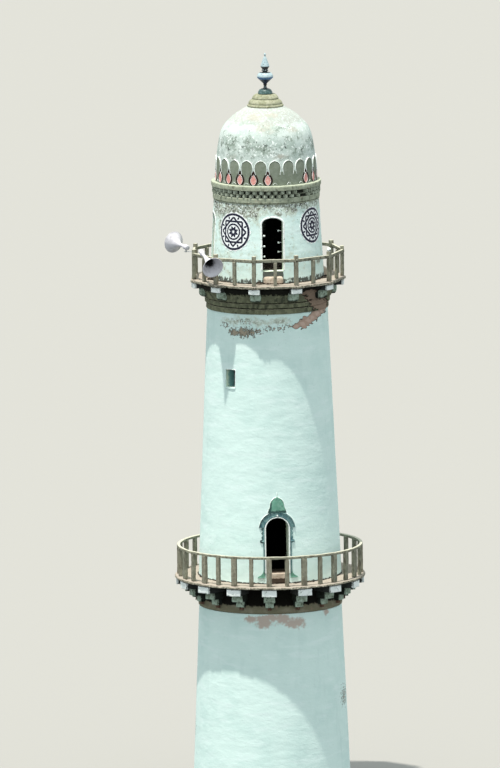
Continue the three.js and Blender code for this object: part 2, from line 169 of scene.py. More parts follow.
# Limewash over lime plaster: chalky, brushed on sideways, scaling off in flakes to tan and pinkish mortar
limewash = coat('limewash_on_lime_plaster', '#d9eee7', 0.92, [
    layer('#c6e0d9', 0.9, 0.42, 0.68, 0.5),
    layer('#e6f5f1', 0.2, 0.5, 0.7, 0.45, stretch=(4, 4, 1)),
    layer('#b4cdc8', 0.35, 0.56, 0.78, 0.22, stretch=(1, 1, 6)),
    layer('#9fb0a6', 0.035, 0.67, 0.71, 0.5),
    layer('#b79c8d', 0.14, -0.02, 0.26, 0.8, where='patch', spread=0.9, detail=8, rough=0.65, depth=0.004),
    layer('#4b4036', 0.055, 0.41, 0.46, 0.85, where='flake', spread=0.4, detail=6, seed=5),
    layer('#b5a18c', 0.055, 0.49, 0.54, 0.85, where='flake', spread=0.4, detail=6, seed=5, depth=0.003),
    layer('#3a2e26', 0.1, -0.9, -0.82, 0.92, where='spall', spread=2.0, detail=4, seed=8),
    layer('#b59a8a', 0.1, -0.72, -0.6, 0.95, where='spall', spread=2.0, detail=4, seed=8),
    layer('#c9b1a2', 0.06, -0.2, 0.1, 0.6, where='spall', spread=2.0, detail=5),
    layer('#544a3c', 0.11, 0.06, 0.12, 0.8, where='scar', spread=0.8, detail=8, rough=0.75, seed=12),
    layer('#a69a86', 0.11, 0.12, 0.2, 0.92, where='scar', spread=0.8, detail=8, rough=0.75, seed=12,
          depth=0.003),
    layer('#bcc3b0', 0.22, 0.26, 0.46, 0.75, where='dirt', spread=0.4, detail=8, rough=0.7),
    layer('#7b7a6a', 0.13, 0.38, 0.48, 0.75, where='dirt', spread=0.4, detail=8, rough=0.75),
    layer('#2a2620', 0.1, 0.47, 0.52, 0.85, where='dirt', spread=0.4, detail=8, rough=0.75),
    layer('#eef5f0', 0.05, 0.52, 0.57, 0.7, where='dirt', spread=0.2, detail=5, seed=33),
    layer('#35322a', 0.08, 0.42, 0.56, 0.9, where='grime_and_shade', spread=0.7, stretch=(1, 1, 1.8), detail=5),
    # The two inside layers: a pale jamb colour on the doorway cheeks is painted light, and the near black
    # deeper in is painted shade
    layer('#dfe9d6', 0.2, -5.1, -4.8, where='inside', spread=6.0),
    # Window reveals painted teal: painted shade
    layer('#93bfbc', 0.1, -0.2, 0.3, where='painted_reveal_shade'),
    layer('#060706', 0.2, -0.8, 0.1, where='inside', spread=6.0),
], [(0.3, 0.012, (2.2, 2.2, 1)), (0.11, 0.006, (1.8, 1.8, 1)), (0.05, 0.002)])

# Dome plaster: whiter wash, mildew in grey-green and black specks, tan where water stands
domePlaster = coat('mildewed_white_dome_plaster', '#c6d0c9', 0.92, [
    layer('#b3c2bb', 0.5, 0.45, 0.68, 0.6),
    layer('#9a988f', 0.07, 0.3, 0.6, 0.75, where='crown', spread=0.5, detail=8, rough=0.75),
    layer('#aca698', 0.1, 0.1, 0.45, 0.7, where='tan', spread=0.8, detail=8, rough=0.7),
    layer('#9aa99e', 0.3, 0.38, 0.56, 0.7, where='flake', spread=0.3, detail=8, rough=0.7),
    layer('#717d70', 0.22, 0.46, 0.54, 0.7, where='flake', spread=0.3, detail=8, rough=0.75),
    layer('#2e352f', 0.13, 0.52, 0.57, 0.85, where='flake', spread=0.3, detail=8, rough=0.78),
    layer('#eef3ee', 0.07, 0.56, 0.61, 0.8, where='flake', spread=0.15, detail=6, seed=31),
], [(0.25, 0.01), (0.06, 0.004)])

# Grey-green distemper on the cornice: dull, blotched; near black in the brick cells and along the undercut
# line, painted shade with some soot
khakiPlaster = coat('grey_green_distemper_on_plaster', '#969c87', 0.95, [
    layer('#aeb49f', 0.16, 0.42, 0.62, 0.65),
    layer('#565a4a', 0.1, 0.54, 0.68, 0.7, stretch=(1, 1, 2)),
    layer('#a9a08a', 0.12, 0.58, 0.68, 0.6),
    layer('#b3baa6', 0.08, 0.35, 0.9, 0.7, facing=1.0),
    layer('#1d1f18', 0.07, 0.3, 0.5, 0.95, where='grime_and_shade', spread=0.7, detail=5),
], [(0.12, 0.01), (0.04, 0.004)])

# Corner-set bricks: pale grey-green wash, painted shade near black on their undersides
toothPaint = coat('pale_wash_on_brick', '#b2b9a6', 0.95, [
    layer('#959c87', 0.2, 0.0, 1.0, 0.7, tone=True),
    layer('#5b5e4f', 0.05, 0.54, 0.62, 0.8),
    layer('#14140f', 0.1, 0.2, 0.6, 0.9, facing=-1.0),
], [(0.05, 0.006)])

# Olive render of the rings and the cove: near black in the grooves and up under the slab, painted shade
# with some soot; brown brickwork where it broke away
coveRender = coat('olive_render_soot_and_shade', '#666853', 0.95, [
    layer('#86876b', 0.14, 0.44, 0.62, 0.65),
    layer('#3a3d32', 0.12, 0.52, 0.66, 0.75, stretch=(1, 1, 2)),
    layer('#a8a38c', 0.08, 0.35, 0.9, 0.8, facing=1.0),
    layer('#0b0c0a', 0.07, 0.28, 0.52, 0.96, where='grime_and_shade', spread=0.7, detail=5),
    layer('#2a211b', 0.1, -0.9, -0.8, 0.9, where='spall', spread=2.0, detail=6, seed=6),
    layer('#94806f', 0.1, -0.66, -0.52, 0.95, where='spall', spread=2.0, detail=6, seed=6, depth=0.006),
], [(0.12, 0.01), (0.04, 0.004)])

# Cast cement rails and posts: grey, cream where the top is worn; near black underneath, painted shade with
# some soot
castCement = coat('weathered_cast_cement', '#7e7e6e', 0.95, [
    layer('#9b9a87', 0.14, 0.42, 0.62, 0.6),
    layer('#5e5749', 0.09, 0.5, 0.64, 0.75, stretch=(1, 1, 2.5)),
    layer('#968c7a', 0.2, 0.0, 1.0, 0.35, tone=True),
    layer('#c9c6b4', 0.09, 0.4, 0.75, 0.8, facing=1.0),
    layer('#100f0c', 0.2, 0.1, 0.5, 0.95, facing=-1.0),
    layer('#35312a', 0.05, 0.62, 0.68, 0.75, detail=5),
    layer('#2c2923', 0.08, 0.35, 0.55, 0.85, where='grime_and_shade', spread=0.7, detail=5),
], [(0.1, 0.01), (0.03, 0.004)])

# Balcony floors: trodden cement with pinkish dust, cream and black specks at the edge; near black under the
# slab, painted shade with some soot
balconyCement = coat('dusty_balcony_cement', '#848172', 0.95, [
    layer('#5d574c', 0.09, 0.48, 0.6, 0.75, stretch=(1, 1, 0.6)),
    layer('#d0c9b6', 0.06, 0.56, 0.64, 0.7),
    layer('#2a2621', 0.045, 0.58, 0.64, 0.8),
    layer('#a99e91', 0.25, 0.35, 0.8, 0.85, facing=1.0),
    layer('#080807', 0.2, 0.1, 0.5, 0.97, facing=-1.0),
    layer('#2b2721', 0.07, 0.36, 0.52, 0.9, where='grime_and_shade', spread=0.6, detail=6),
], [(0.12, 0.012), (0.03, 0.005)])

# Bare cement render band: grey-brown, trowelled; near black up under the balcony, painted shade with some
# soot
bandRender = coat('grey_brown_cement_render', '#79755f', 0.95, [
    layer('#958f7c', 0.2, 0.45, 0.65, 0.6, stretch=(2, 2, 1)),
    layer('#94806f', 0.16, 0.58, 0.68, 0.5),
    layer('#060604', 0.12, 0.1, 0.42, 0.98, where='grime_and_shade', spread=0.8, detail=5),
], [(0.15, 0.014, (2, 2, 1)), (0.04, 0.005)])

# White paint on cement blocks: thick, chipped at the arrises; the bare sides and the undersides near black,
# painted shade with some soot
whitePaint = coat('chipped_white_limewash', '#f2f6f2', 0.9, [
    layer('#d0dbd1', 0.12, 0.45, 0.65, 0.5),
    layer('#747b69', 0.07, 0.6, 0.67, 0.7, detail=5),
    layer('#171a15', 0.05, 0.0, 0.3, 0.95, where='side', spread=0.9, detail=5),
    layer('#11120e', 0.1, 0.2, 0.6, 0.9, facing=-1.0),
], [(0.07, 0.01)])

# Mint paint on cement blocks: worn to olive; the bare sides and the undersides near black, painted shade
# with some soot
mintPaint = coat('worn_mint_limewash', '#abbca9', 0.92, [
    layer('#75806b', 0.12, 0.45, 0.62, 0.7),
    layer('#ccd9ca', 0.09, 0.56, 0.68, 0.6),
    layer('#3b3a30', 0.08, 0.56, 0.66, 0.8, detail=5),
    layer('#10120e', 0.05, 0.0, 0.3, 0.95, where='side', spread=0.9, detail=5),
    layer('#11120e', 0.1, 0.2, 0.6, 0.9, facing=-1.0),
], [(0.08, 0.012), (0.03, 0.004)])

# Red-brown earthenware drops, once painted; their undersides near black, painted shade
brownCement = coat('bare_brown_cement', '#5c4638', 0.95, [
    layer('#86695a', 0.06, 0.45, 0.62, 0.7),
    layer('#120f0c', 0.08, 0.3, 0.8, 0.9, facing=-1.0),
], [(0.05, 0.008)])

# Petals: flat grey-green distemper, brushed, dusty
petalPaint = coat('grey_green_distemper', '#7d8474', 0.93, [
    layer('#8f9588', 0.15, 0.42, 0.62, 0.6),
    layer('#6a7562', 0.2, 0.0, 1.0, 0.35, tone=True),
    layer('#a9b3a0', 0.06, 0.66, 0.74, 0.6),
], [(0.08, 0.006)])

# Niches round the lozenges: dark brown paint, which also stands in as painted shade of the recess they show
nicheBrownAndShade = coat('dark_brown_distemper_and_niche_shade', '#2a1d19', 0.95, [
    layer('#4d372f', 0.06, 0.5, 0.65, 0.6),
], [(0.05, 0.006)])

# Lozenges: faded rose distemper with white showing through
rosePaint = coat('faded_rose_distemper', '#d99b93', 0.9, [
    layer('#ecc3b9', 0.06, 0.48, 0.62, 0.6),
    layer('#cf7c74', 0.2, 0.0, 1.0, 0.4, tone=True),
], [(0.05, 0.004)])

# Sea-green oil paint on the door's relief: slight sheen, dark teal in the folds and at its foot
seaGreen = coat('sea_green_oil_paint', '#62937f', 0.7, [
    layer('#7ea693', 0.12, 0.45, 0.62, 0.6),
    layer('#45695e', 0.1, 0.56, 0.7, 0.6),
    layer('#1d3b3a', 0.08, 0.2, 0.5, 0.9, where='grime_and_shade', spread=0.7),
], [(0.06, 0.006)], sheen=0.3)

# Slate-teal paint of the arch band and little columns: dull, worn to blue-grey, with a painted shadow along
# the band's outer edge
slateTeal = coat('slate_teal_oil_paint', '#5f8180', 0.75, [
    layer('#7d9c98', 0.08, 0.46, 0.6, 0.7),
    layer('#355a64', 0.12, 0.5, 0.62, 0.8, stretch=(1, 1, 2)),
    layer('#14282b', 0.06, 0.1, 0.4, 0.92, where='grime_and_shade', spread=0.7, detail=5),
], [(0.05, 0.006)], sheen=0.3)

# Navy enamel paint on the roundels, thinned where the brush ran dry
navyPaint = coat('navy_enamel_paint', '#15162e', 0.6, [
    layer('#3c3e58', 0.07, 0.6, 0.7, 0.5),
], [(0.05, 0.003)], sheen=0.3)

# Fresh white ground of the roundels, the cleanest paint on the tower
freshWhite = coat('fresh_white_distemper', '#f4f6f5', 0.9, [
    layer('#d5dcd8', 0.15, 0.5, 0.7, 0.6),
    layer('#8f958d', 0.05, 0.64, 0.7, 0.6, detail=5),
], [(0.08, 0.004)])

# Tan sandstone thresholds: trodden pale on top, darker at the foot; dark brown on the main threshold's
# front, in the doorways and on the floor inside the drum, painted shade
sandstone = coat('tan_sandstone', '#b3a391', 0.9, [
    layer('#cbbfae', 0.15, 0.42, 0.6, 0.8),
    layer('#8b7563', 0.1, 0.56, 0.68, 0.6),
    layer('#33261d', 0.07, 0.25, 0.45, 0.92, where='grime_and_shade', spread=0.6, detail=5),
], [(0.08, 0.008)])

# Glaze on the turned finial: pale blue tear, black neck, white and blue disc, navy cone, grey-teal bell
finialGlaze = coat('weathered_banded_glaze', '#a9bcc0', 0.42, [
    layer('#36524e', 0.2, 0.4, 0.6, between=(20.8, 20.985)),
    layer('#0f1012', 0.2, 0.4, 0.6, between=(20.985, 21.135)),
    layer('#1c2543', 0.2, 0.4, 0.6, between=(21.135, 21.275)),
    layer('#2f6296', 0.2, 0.4, 0.6, 0.95, between=(21.275, 21.345)),
    layer('#121418', 0.2, 0.4, 0.6, 0.97, between=(21.465, 21.655)),
    layer('#6f8789', 0.06, 0.5, 0.6, 0.45),
    layer('#2f3a3d', 0.04, 0.6, 0.66, 0.7),
], [(0.05, 0.004)], sheen=0.5)

# Horn enamel: lilac-grey over spun aluminium, chalked; near black down the throat, painted shade
hornEnamel = coat('lilac_grey_enamel', '#d2cfd4', 0.5, [
    layer('#b2afb3', 0.12, 0.45, 0.65, 0.6),
    layer('#7d6f62', 0.05, 0.64, 0.72, 0.6),
    layer('#0d0d11', 0.1, 0.1, 0.6, 0.98, where='grime_and_shade', spread=0.9),
], [(0.1, 0.002)], sheen=0.5)

# Hot-dip galvanised steel: dull spangle
galvanised = coat('hot_dip_galvanised_steel', '#8d9294', 0.5, [
    layer('#b4b8ba', 0.03, 0.3, 0.7, 0.6, cells=True),
    layer('#6b5142', 0.04, 0.6, 0.68, 0.7),
], [(0.03, 0.001)], sheen=0.5, metallic=0.9)

# Wind-blown silt and soot at the foot of the walls
silt = coat('dark_wind_blown_silt', '#29251f', 1.0, [
    layer('#75685a', 0.08, 0.52, 0.64, 0.8),
    layer('#0f0e0b', 0.05, 0.5, 0.6, 0.85),
], [(0.03, 0.012)])

# Stepped base of the finial: cream-khaki distemper, dusty
khakiCream = coat('cream_khaki_distemper', '#909279', 0.93, [
    layer('#a7a68f', 0.12, 0.42, 0.6, 0.7),
    layer('#777559', 0.07, 0.5, 0.66, 0.7),
    layer('#5e5a45', 0.05, 0.6, 0.7, 0.6),
], [(0.08, 0.01)])
print('materials made')


# Shapes are (points, faces) pairs until makePiece turns them into an object

def clamp(value):
    return max(0.0, min(1.0, value))


def polar(azimuth, radius, z):
    angle = math.radians(azimuth)
    return (radius * math.sin(angle), -radius * math.cos(angle), z)


def azimuthOf(x, y):
    return math.degrees(math.atan2(x, -y))


def merged(shapes):
    points = []
    faces = []
    for shapePoints, shapeFaces in shapes:
        base = len(points)
        points += [tuple(p) for p in shapePoints]
        faces += [tuple(i + base for i in face) for face in shapeFaces]
    return points, faces


def moved(shape, matrix):
    return [tuple(matrix @ Vector(p)) for p in shape[0]], shape[1]


def refined(profile, step, closed=False):
    ends = profile[1:] + (profile[:1] if closed else [])
    result = []
    for (r0, z0), (r1, z1) in zip(profile, ends):
        count = max(1, math.ceil(math.hypot(r1 - r0, z1 - z0) / step))
        result += [(r0 + (r1 - r0) * i / count, z0 + (z1 - z0) * i / count) for i in range(count)]
    return result if closed else result + [profile[-1]]


def rounded(profile, perSpan=4):  # a smooth curve through the points of a profile
    result = []
    for i in range(len(profile) - 1):
        a = profile[max(i - 1, 0)]
        b, c = profile[i], profile[i + 1]
        d = profile[min(i + 2, len(profile) - 1)]
        for k in range(perSpan):
            t = k / perSpan
            result.append(tuple(
                0.5 * (2 * b[n] + (c[n] - a[n]) * t + (2 * a[n] - 5 * b[n] + 4 * c[n] - d[n]) * t * t
                       + (3 * b[n] - a[n] - 3 * c[n] + d[n]) * t ** 3) for n in (0, 1)))
    return result + [profile[-1]]


def turned(profile, around, closed=False):
    points = []
    rings = []
    for r, z in profile:
        count = around if r > 1e-6 else 1
        rings.append([len(points) + i % count for i in range(around)])
        points += [polar(360 * i / count, r, z) for i in range(count)]
    faces = []
    for low, high in zip(rings, rings[1:] + (rings[:1] if closed else [])):
        for i in range(around):
            j = (i + 1) % around
            face = tuple(dict.fromkeys((low[i], low[j], high[j], high[i])))
            if len(face) > 2:
                faces.append(face)
    return points, faces


def lofted(rows, closed=False):  # a skin through rings of points; an open one gets flat ends
    size = len(rows[0])
    last = len(rows) - 1
    faces = [] if closed else [tuple(range(size)), tuple(last * size + k for k in reversed(range(size)))]
    for i in range(len(rows) if closed else last):
        j = (i + 1) % len(rows)
        for k in range(size):
            m = (k + 1) % size
            faces.append((i * size + k, i * size + m, j * size + m, j * size + k))
    return [p for row in rows for p in row], faces


# A block with rounded arrises, as a closed grid that can be roughened
def roundedBlock(size, edge, spacing=0.05):
    lines = []
    for length in size:
        half = length / 2
        inner = half - edge
        count = max(1, round(2 * inner / spacing))
        flat = [-inner + 2 * inner * i / count for i in range(count + 1)]
        lines.append([-half, -half + 0.4 * edge] + flat + [half - 0.4 * edge, half])
    index = {}
    points = []

    def corner(place):
        if place not in index:
            raw = [lines[n][place[n]] for n in range(3)]
            core = Vector([max(edge - size[n] / 2, min(size[n] / 2 - edge, raw[n])) for n in range(3)])
            away = Vector(raw) - core
            index[place] = len(points)
            points.append(tuple(core + away.normalized() * edge))
        return index[place]

    faces = []
    for n in range(3):
        u, v = (n + 1) % 3, (n + 2) % 3
        for side in (0, len(lines[n]) - 1):
            for i in range(len(lines[u]) - 1):
                for j in range(len(lines[v]) - 1):
                    square = []
                    for di, dj in ((0, 0), (1, 0), (1, 1), (0, 1)):
                        place = [0, 0, 0]
                        place[n], place[u], place[v] = side, i + di, j + dj
                        square.append(corner(tuple(place)))
                    faces.append(tuple(square if side else square[::-1]))
    return points, faces


def boxAt(place, size, edge, spacing=0.05):
    return moved(roundedBlock(size, edge, spacing), Matrix.Translation(place))


def standingBlock(width, near, far, z0, z1, edge, spacing):
    return boxAt((0, -(near + far) / 2, (z0 + z1) / 2), (width, far - near, z1 - z0), edge, spacing)


# A surface is a function of (across, z, out) that gives a point on or above a wall
def wallSurface(radiusAt, azimuth=0.0):
    def at(across, z, out):
        radius = radiusAt(z)
        return polar(azimuth + math.degrees(across / radius), radius + out, z)
    return at


def frontSurface(radiusAt):  # across is the true sideways distance, as a front view shows it
    def at(across, z, out):
        radius = radiusAt(z) + out
        return (across, -math.sqrt(radius * radius - across * across), z)
    return at


# A raised half-round band along a line that is drawn on a surface
def bandAlong(path, surface, width, height, closed=False, sink=0.01):
    turns = [math.pi * k / 4 for k in range(5)]
    section = [(-math.cos(turn) * width / 2, math.sin(turn) * height) for turn in turns]
    section += [(width / 2, -sink), (-width / 2, -sink)]
    rows = []
    last = len(path) - 1
    for i, (x, z) in enumerate(path):
        before = path[i - 1] if closed or i > 0 else path[i]
        after = path[(i + 1) % len(path)] if closed or i < last else path[i]
        run = Vector((after[0] - before[0], after[1] - before[1])).normalized()
        rows.append([surface(x - run.y * across, z + run.x * across, out) for across, out in section])
    return lofted(rows, closed)


def isInside(x, z, outline):
    inside = False
    for (x0, z0), (x1, z1) in zip(outline, outline[1:] + outline[:1]):
        if (z0 > z) != (z1 > z) and x < x0 + (x1 - x0) * (z - z0) / (z1 - z0):
            inside = not inside
    return inside


# A plate that lies on a surface inside an outline, with a height that may change over it
def plateOver(outline, surface, height, spacing=0.04, sink=0.01):
    heightAt = height if callable(height) else (lambda x, z: height)
    edge = refined(outline, spacing, closed=True)
    low = [min(p[n] for p in edge) for n in (0, 1)]
    high = [max(p[n] for p in edge) for n in (0, 1)]
    inner = []
    for i in range(1, int((high[0] - low[0]) / spacing) + 1):
        for j in range(1, int((high[1] - low[1]) / spacing) + 1):
            x, z = low[0] + i * spacing, low[1] + j * spacing
            clear = min(math.hypot(x - p[0], z - p[1]) for p in edge) > 0.45 * spacing
            if clear and isInside(x, z, edge):
                inner.append((x, z))
    count = len(edge)
    loop = [(i, (i + 1) % count) for i in range(count)]
    spots, _, triangles, _, _, _ = delaunay_2d_cdt([Vector(p) for p in edge + inner], loop, [], 1, 1e-5)
    top = [surface(p[0], p[1], heightAt(p[0], p[1])) for p in spots]
    under = [surface(p[0], p[1], -sink) for p in spots]
    total = len(spots)
    faces = [tuple(t) for t in triangles]
    faces += [tuple(i + total for i in reversed(t)) for t in triangles]
    sides = {}
    for t in triangles:
        for a, b in zip(t, t[1:] + t[:1]):
            sides[(a, b)] = True
    for a, b in sides:
        if (b, a) not in sides:
            faces.append((b, a, a + total, b + total))
    return top + under, faces


def makePiece(name, shape, material):
    mesh = bpy.data.meshes.new(name)
    mesh.from_pydata(shape[0], [], shape[1])
    whole = bmesh.new()
    whole.from_mesh(mesh)
    bmesh.ops.recalc_face_normals(whole, faces=whole.faces)
    whole.to_mesh(mesh)
    whole.free()
    mesh.materials.append(material)
    piece = bpy.data.objects.new(name, mesh)
    bpy.context.scene.collection.objects.link(piece)
    return piece


def baked(piece):  # the modifiers' result becomes the plain mesh
    graph = bpy.context.evaluated_depsgraph_get()
    mesh = bpy.data.meshes.new_from_object(piece.evaluated_get(graph))
    piece.modifiers.clear()
    piece.data = mesh
    return piece


def cutOut(piece, cutters):
    for shape in cutters:
        cutter = makePiece('cutter', shape, piece.data.materials[0])
        cut = piece.modifiers.new('cut', 'BOOLEAN')
        cut.operation = 'DIFFERENCE'
        cut.solver = 'EXACT'
        cut.object = cutter
        baked(piece)
        bpy.data.objects.remove(cutter)


# Weathering pushes points inwards only, so nothing grows past its size
def roughen(piece, depth, size, seed=0.0, chips=0.0, keep=None):
    mesh = piece.data
    normals = [vertex.normal.copy() for vertex in mesh.vertices]
    for vertex, normal in zip(mesh.vertices, normals):
        spot = vertex.co.copy()
        if keep and keep(spot):
            continue
        wave = noise.noise(spot / size + Vector((seed, 0, 0)))
        fine = noise.noise(spot / (0.3 * size) + Vector((0, seed, 0)))
        away = depth * (0.5 + 0.35 * wave + 0.15 * fine)
        if chips:
            bite = noise.noise(spot / 0.08 + Vector((0, 0, seed)))
            away += chips * max(0.0, bite - 0.25) / 0.75
        vertex.co = spot - normal * away


def within(limit):
    return lambda p: math.hypot(p.x, p.y) < limit


# Drives painted light and shade in the openings: a pale jamb colour near the face, near black deeper in
def doorwayLightAndShade(thickness):  # 0 on a wall's outer face, growing to 1 at the shaft
    return lambda azimuth, z, radius: clamp((towerRadius(z) - radius - 0.03) / thickness)


# Drives the near-black flanks of corbels and brackets: bare cement with painted shade between them
def flankShadeField(front):  # 1 on the flanks of a block, 0 on its front face
    return lambda azimuth, z, radius: clamp((front - 0.045 - radius) / 0.03)


def lossField(valueAt):  # a break's ragged edge, as both the shape and the paint use it
    def at(azimuth, z, radius=1.9):
        return valueAt(azimuth, z) + 0.35 * noise.noise(Vector(polar(azimuth, radius, 1.6 * z)) / 0.12)
    return at


def blotches(spots):  # 1 in the middle of each spot, 0.5 on its oval, 0 at twice its size
    def valueAt(azimuth, z, radius=0.0):
        best = 0.0
        for spotAzimuth, spotZ, halfAngle, halfHeight in spots:
            turn = (azimuth - spotAzimuth + 180) % 360 - 180
            best = max(best, 1 - math.hypot(turn / halfAngle, (z - spotZ) / halfHeight) / 2)
        return best
    return valueAt


# Wear is (depth, size, seed, chips) for roughen; fields are painted values of azimuth, z and radius
def settle(piece, slot, *replaced, wear=None, keep=None, fields=None, angle=38):
    if wear:
        roughen(piece, *wear, keep=keep)
    mesh = piece.data
    for title, valueAt in (fields or {}).items():
        places = [vertex.co[:] for vertex in mesh.vertices]
        values = [valueAt(azimuthOf(x, y), z, math.hypot(x, y)) for x, y, z in places]
        mesh.attributes.new(title, 'FLOAT', 'POINT').data.foreach_set('value', values)
    mesh.polygons.foreach_set('use_smooth', [True] * len(mesh.polygons))
    mesh.set_sharp_from_angle(angle=math.radians(angle))
    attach(piece, 'root')
    if replaced:
        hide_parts(*replaced)


# Geometry Nodes: copies of a piece set around the tower's axis, each with a tone of its own
def makeCopiesTree():
    tree = bpy.data.node_groups.new('copies around the axis', 'GeometryNodeTree')
    sockets = {}
    for title, kind in (('Piece', 'NodeSocketGeometry'), ('Count', 'NodeSocketInt'),
                        ('First azimuth', 'NodeSocketFloat'), ('Spacing', 'NodeSocketFloat'),
                        ('Coat', 'NodeSocketMaterial')):
        sockets[title] = tree.interface.new_socket(name=title, in_out='INPUT', socket_type=kind)
    tree.interface.new_socket(name='Copies', in_out='OUTPUT', socket_type='NodeSocketGeometry')
    given = addNode(tree, 'NodeGroupInput').outputs
    points = addNode(tree, 'GeometryNodePoints', links={'Count': given['Count']})
    index = addNode(tree, 'GeometryNodeInputIndex')
    turn = addNode(tree, 'ShaderNodeMath', {'operation': 'MULTIPLY_ADD'},
                   {0: index.outputs[0], 1: given['Spacing'], 2: given['First azimuth']})
    spin = addNode(tree, 'ShaderNodeCombineXYZ', links={'Z': turn.outputs[0]})
    placed = addNode(tree, 'GeometryNodeInstanceOnPoints', links={
        'Points': points.outputs[0], 'Instance': given['Piece'], 'Rotation': spin.outputs[0]})
    tone = addNode(tree, 'FunctionNodeRandomValue', {'data_type': 'FLOAT', 'Seed': 7})
    toned = addNode(tree, 'GeometryNodeStoreNamedAttribute',
                    {'domain': 'INSTANCE', 'data_type': 'FLOAT', 'Name': 'tone'},
                    {'Geometry': placed.outputs[0], 'Value': tone.outputs[1]})
    real = addNode(tree, 'GeometryNodeRealizeInstances', links={'Geometry': toned.outputs[0]})
    coated = addNode(tree, 'GeometryNodeSetMaterial', links={
        'Geometry': real.outputs[0], 'Material': given['Coat']})
    addNode(tree, 'NodeGroupOutput', links={'Copies': coated.outputs[0]})
    return tree, sockets


copiesTree, copiesSockets = makeCopiesTree()


def copiesAround(name, shape, count, firstAzimuth, material, spacing=None):
    piece = makePiece(name, shape, material)
    copies = piece.modifiers.new('copies', 'NODES')
    copies.node_group = copiesTree
    values = {'Count': count, 'First azimuth': math.radians(firstAzimuth),
              'Spacing': math.radians(spacing or 360 / count), 'Coat': material}
    for title, value in values.items():
        copies[copiesSockets[title].identifier] = value
    return baked(piece)


def blocksAround(name, block, count, firstAzimuth, material, edge=0.014, spacing=0.05):
    return copiesAround(name, standingBlock(*block, edge, spacing), count, firstAzimuth, material)


def hoop(name, profile, step, around, material):  # a ring with a closed profile
    return makePiece(name, turned(refined(profile, step, closed=True), around, closed=True), material)


# Walls: a closed shell, round outside and eight-sided inside, on a grid fine enough to weather
def rowsBetween(z0, z1, step, fine=()):
    rows = [z0]
    while rows[-1] < z1 - 1e-6:
        here = rows[-1]
        small = any(low <= here < high for low, high in fine)
        rows.append(min(z1, here + (0.45 * step if small else step)))
    if rows[-1] - rows[-2] < 0.3 * step:
        rows.pop(-2)
    return rows


def towerWall(name, rows, around, shaft):
    half = math.radians(22.5)
    turns = [360 * i / around for i in range(around)]
    rings = [[polar(turn, towerRadius(z), z) for turn in turns] for z in rows]
    for z in (rows[-1], rows[0]):
        rings.append([polar(turn, shaft * math.cos(half) / math.cos(math.radians(turn % 45) - half), z)
                      for turn in turns])
    return makePiece(name, lofted(rings, closed=True), limewash)


def archLine(half, springing, rise, count):
    turns = [math.pi * i / count for i in range(count + 1)]
    return [(half * math.cos(turn), springing + rise * math.sin(turn)) for turn in turns]


# A doorway's cutter: a prism with an arched top that runs outwards at an azimuth
def archCutter(door, sill, azimuth, near=0.6, far=3.2):
    half = door['halfWidth']
    outline = [(-half, sill), (half, sill)] + archLine(half, door['springing'], door['rise'], 18)
    prism = lofted([[(x, -d, z) for x, z in outline] for d in (near, far)])
    return moved(prism, Matrix.Rotation(math.radians(azimuth), 4, 'Z'))


# Weathered faces: the outside of a wall sinks a little where it waves, and more where plaster fell off
def weatherWall(piece, seed, lost=None, lostDepth=0.015):
    for vertex in piece.data.vertices:
        x, y, z = vertex.co
        radius = math.hypot(x, y)
        if radius < towerRadius(z) - 0.004:
            continue
        spot = Vector((x, y, z * 1.6))
        away = 0.006 * (0.5 + 0.4 * noise.noise(spot / 0.5 + Vector((seed, 0, 0)))
                        + 0.25 * noise.noise(spot / 0.175 + Vector((0, seed, 0))))
        if lost:
            away += lostDepth * clamp((lost(azimuthOf(x, y), z, 1.9) - 0.36) / 0.08)
        scale = (radius - away) / radius
        vertex.co = (x * scale, y * scale, z)


def allQuarters(stem):
    return [stem + quarter for quarter in quarters]


# Base storey and its ground slab
entrance = {'halfWidth': 0.4, 'springing': 2.05, 'rise': 0.4}
baseLook = {
    'patch': [(-22, 5.53, 6, 0.12), (-12, 5.47, 8, 0.2), (-4, 5.58, 7, 0.14), (3, 5.54, 7, 0.16),
              (14, 5.4, 9, 0.18), (45, 5.62, 4, 0.1), (130, 5.4, 10, 0.16), (-140, 5.5, 9, 0.12),
              (160, 0.5, 14, 0.2)],
    'flake': [(70, 3.0, 12, 0.4), (-100, 2.0, 14, 0.5), (180, 3.1, 12, 0.3)],
}
groundSlab = makePiece('ground_slab_render', turned(refined(
    [(0, 0), (2.32, 0), (2.34, 0.02), (2.34, 0.13), (2.325, 0.15), (0, 0.15)], 0.12), 192), castCement)
settle(groundSlab, 'grey_cement', 'ground_slab', wear=(0.008, 0.2, 3), keep=lambda p: p.z < 0.01)

baseRows = rowsBetween(tower['baseFoot'] + 0.001, tower['bandFoot'], 0.07, [(5.1, 5.68)])
baseWall = towerWall('base_wall', baseRows, 288, 1.4)
cutOut(baseWall, [archCutter(entrance, 0.1, 180)])
weatherWall(baseWall, 2)
settle(baseWall, 'limewash', *allQuarters('base_wall_'), 'entrance_head', fields={
    **{title: blotches(spots) for title, spots in baseLook.items()},
    'grime_and_shade': lambda a, z, r: max(0.0, 1 - (z - tower['baseFoot']) / 0.5) * 0.8, 'inside': doorwayLightAndShade(0.6)})
print('base storey made')

# Corbel course: a cement band and sixteen stepped corbels. A block is (width, near, far, z0, z1).
corbelLook = {
    'azimuth': -7, 'count': 16,
    'abacus': (0.45, 1.95, 2.78, 6.285, 6.499), 'upper': (0.35, 1.95, 2.52, 6.07, 6.3),
    'lower': (0.27, 1.95, 2.31, 5.885, 6.09), 'drop': (0.135, 1.95, 2.22, 5.79, 5.9),
}
band = hoop('corbel_band', [
    (1.9, 5.681), (2.1, 5.681), (2.128, 5.7), (2.128, 5.85), (2.1, 6.498), (1.9, 6.498)],
    0.05, 288, bandRender)
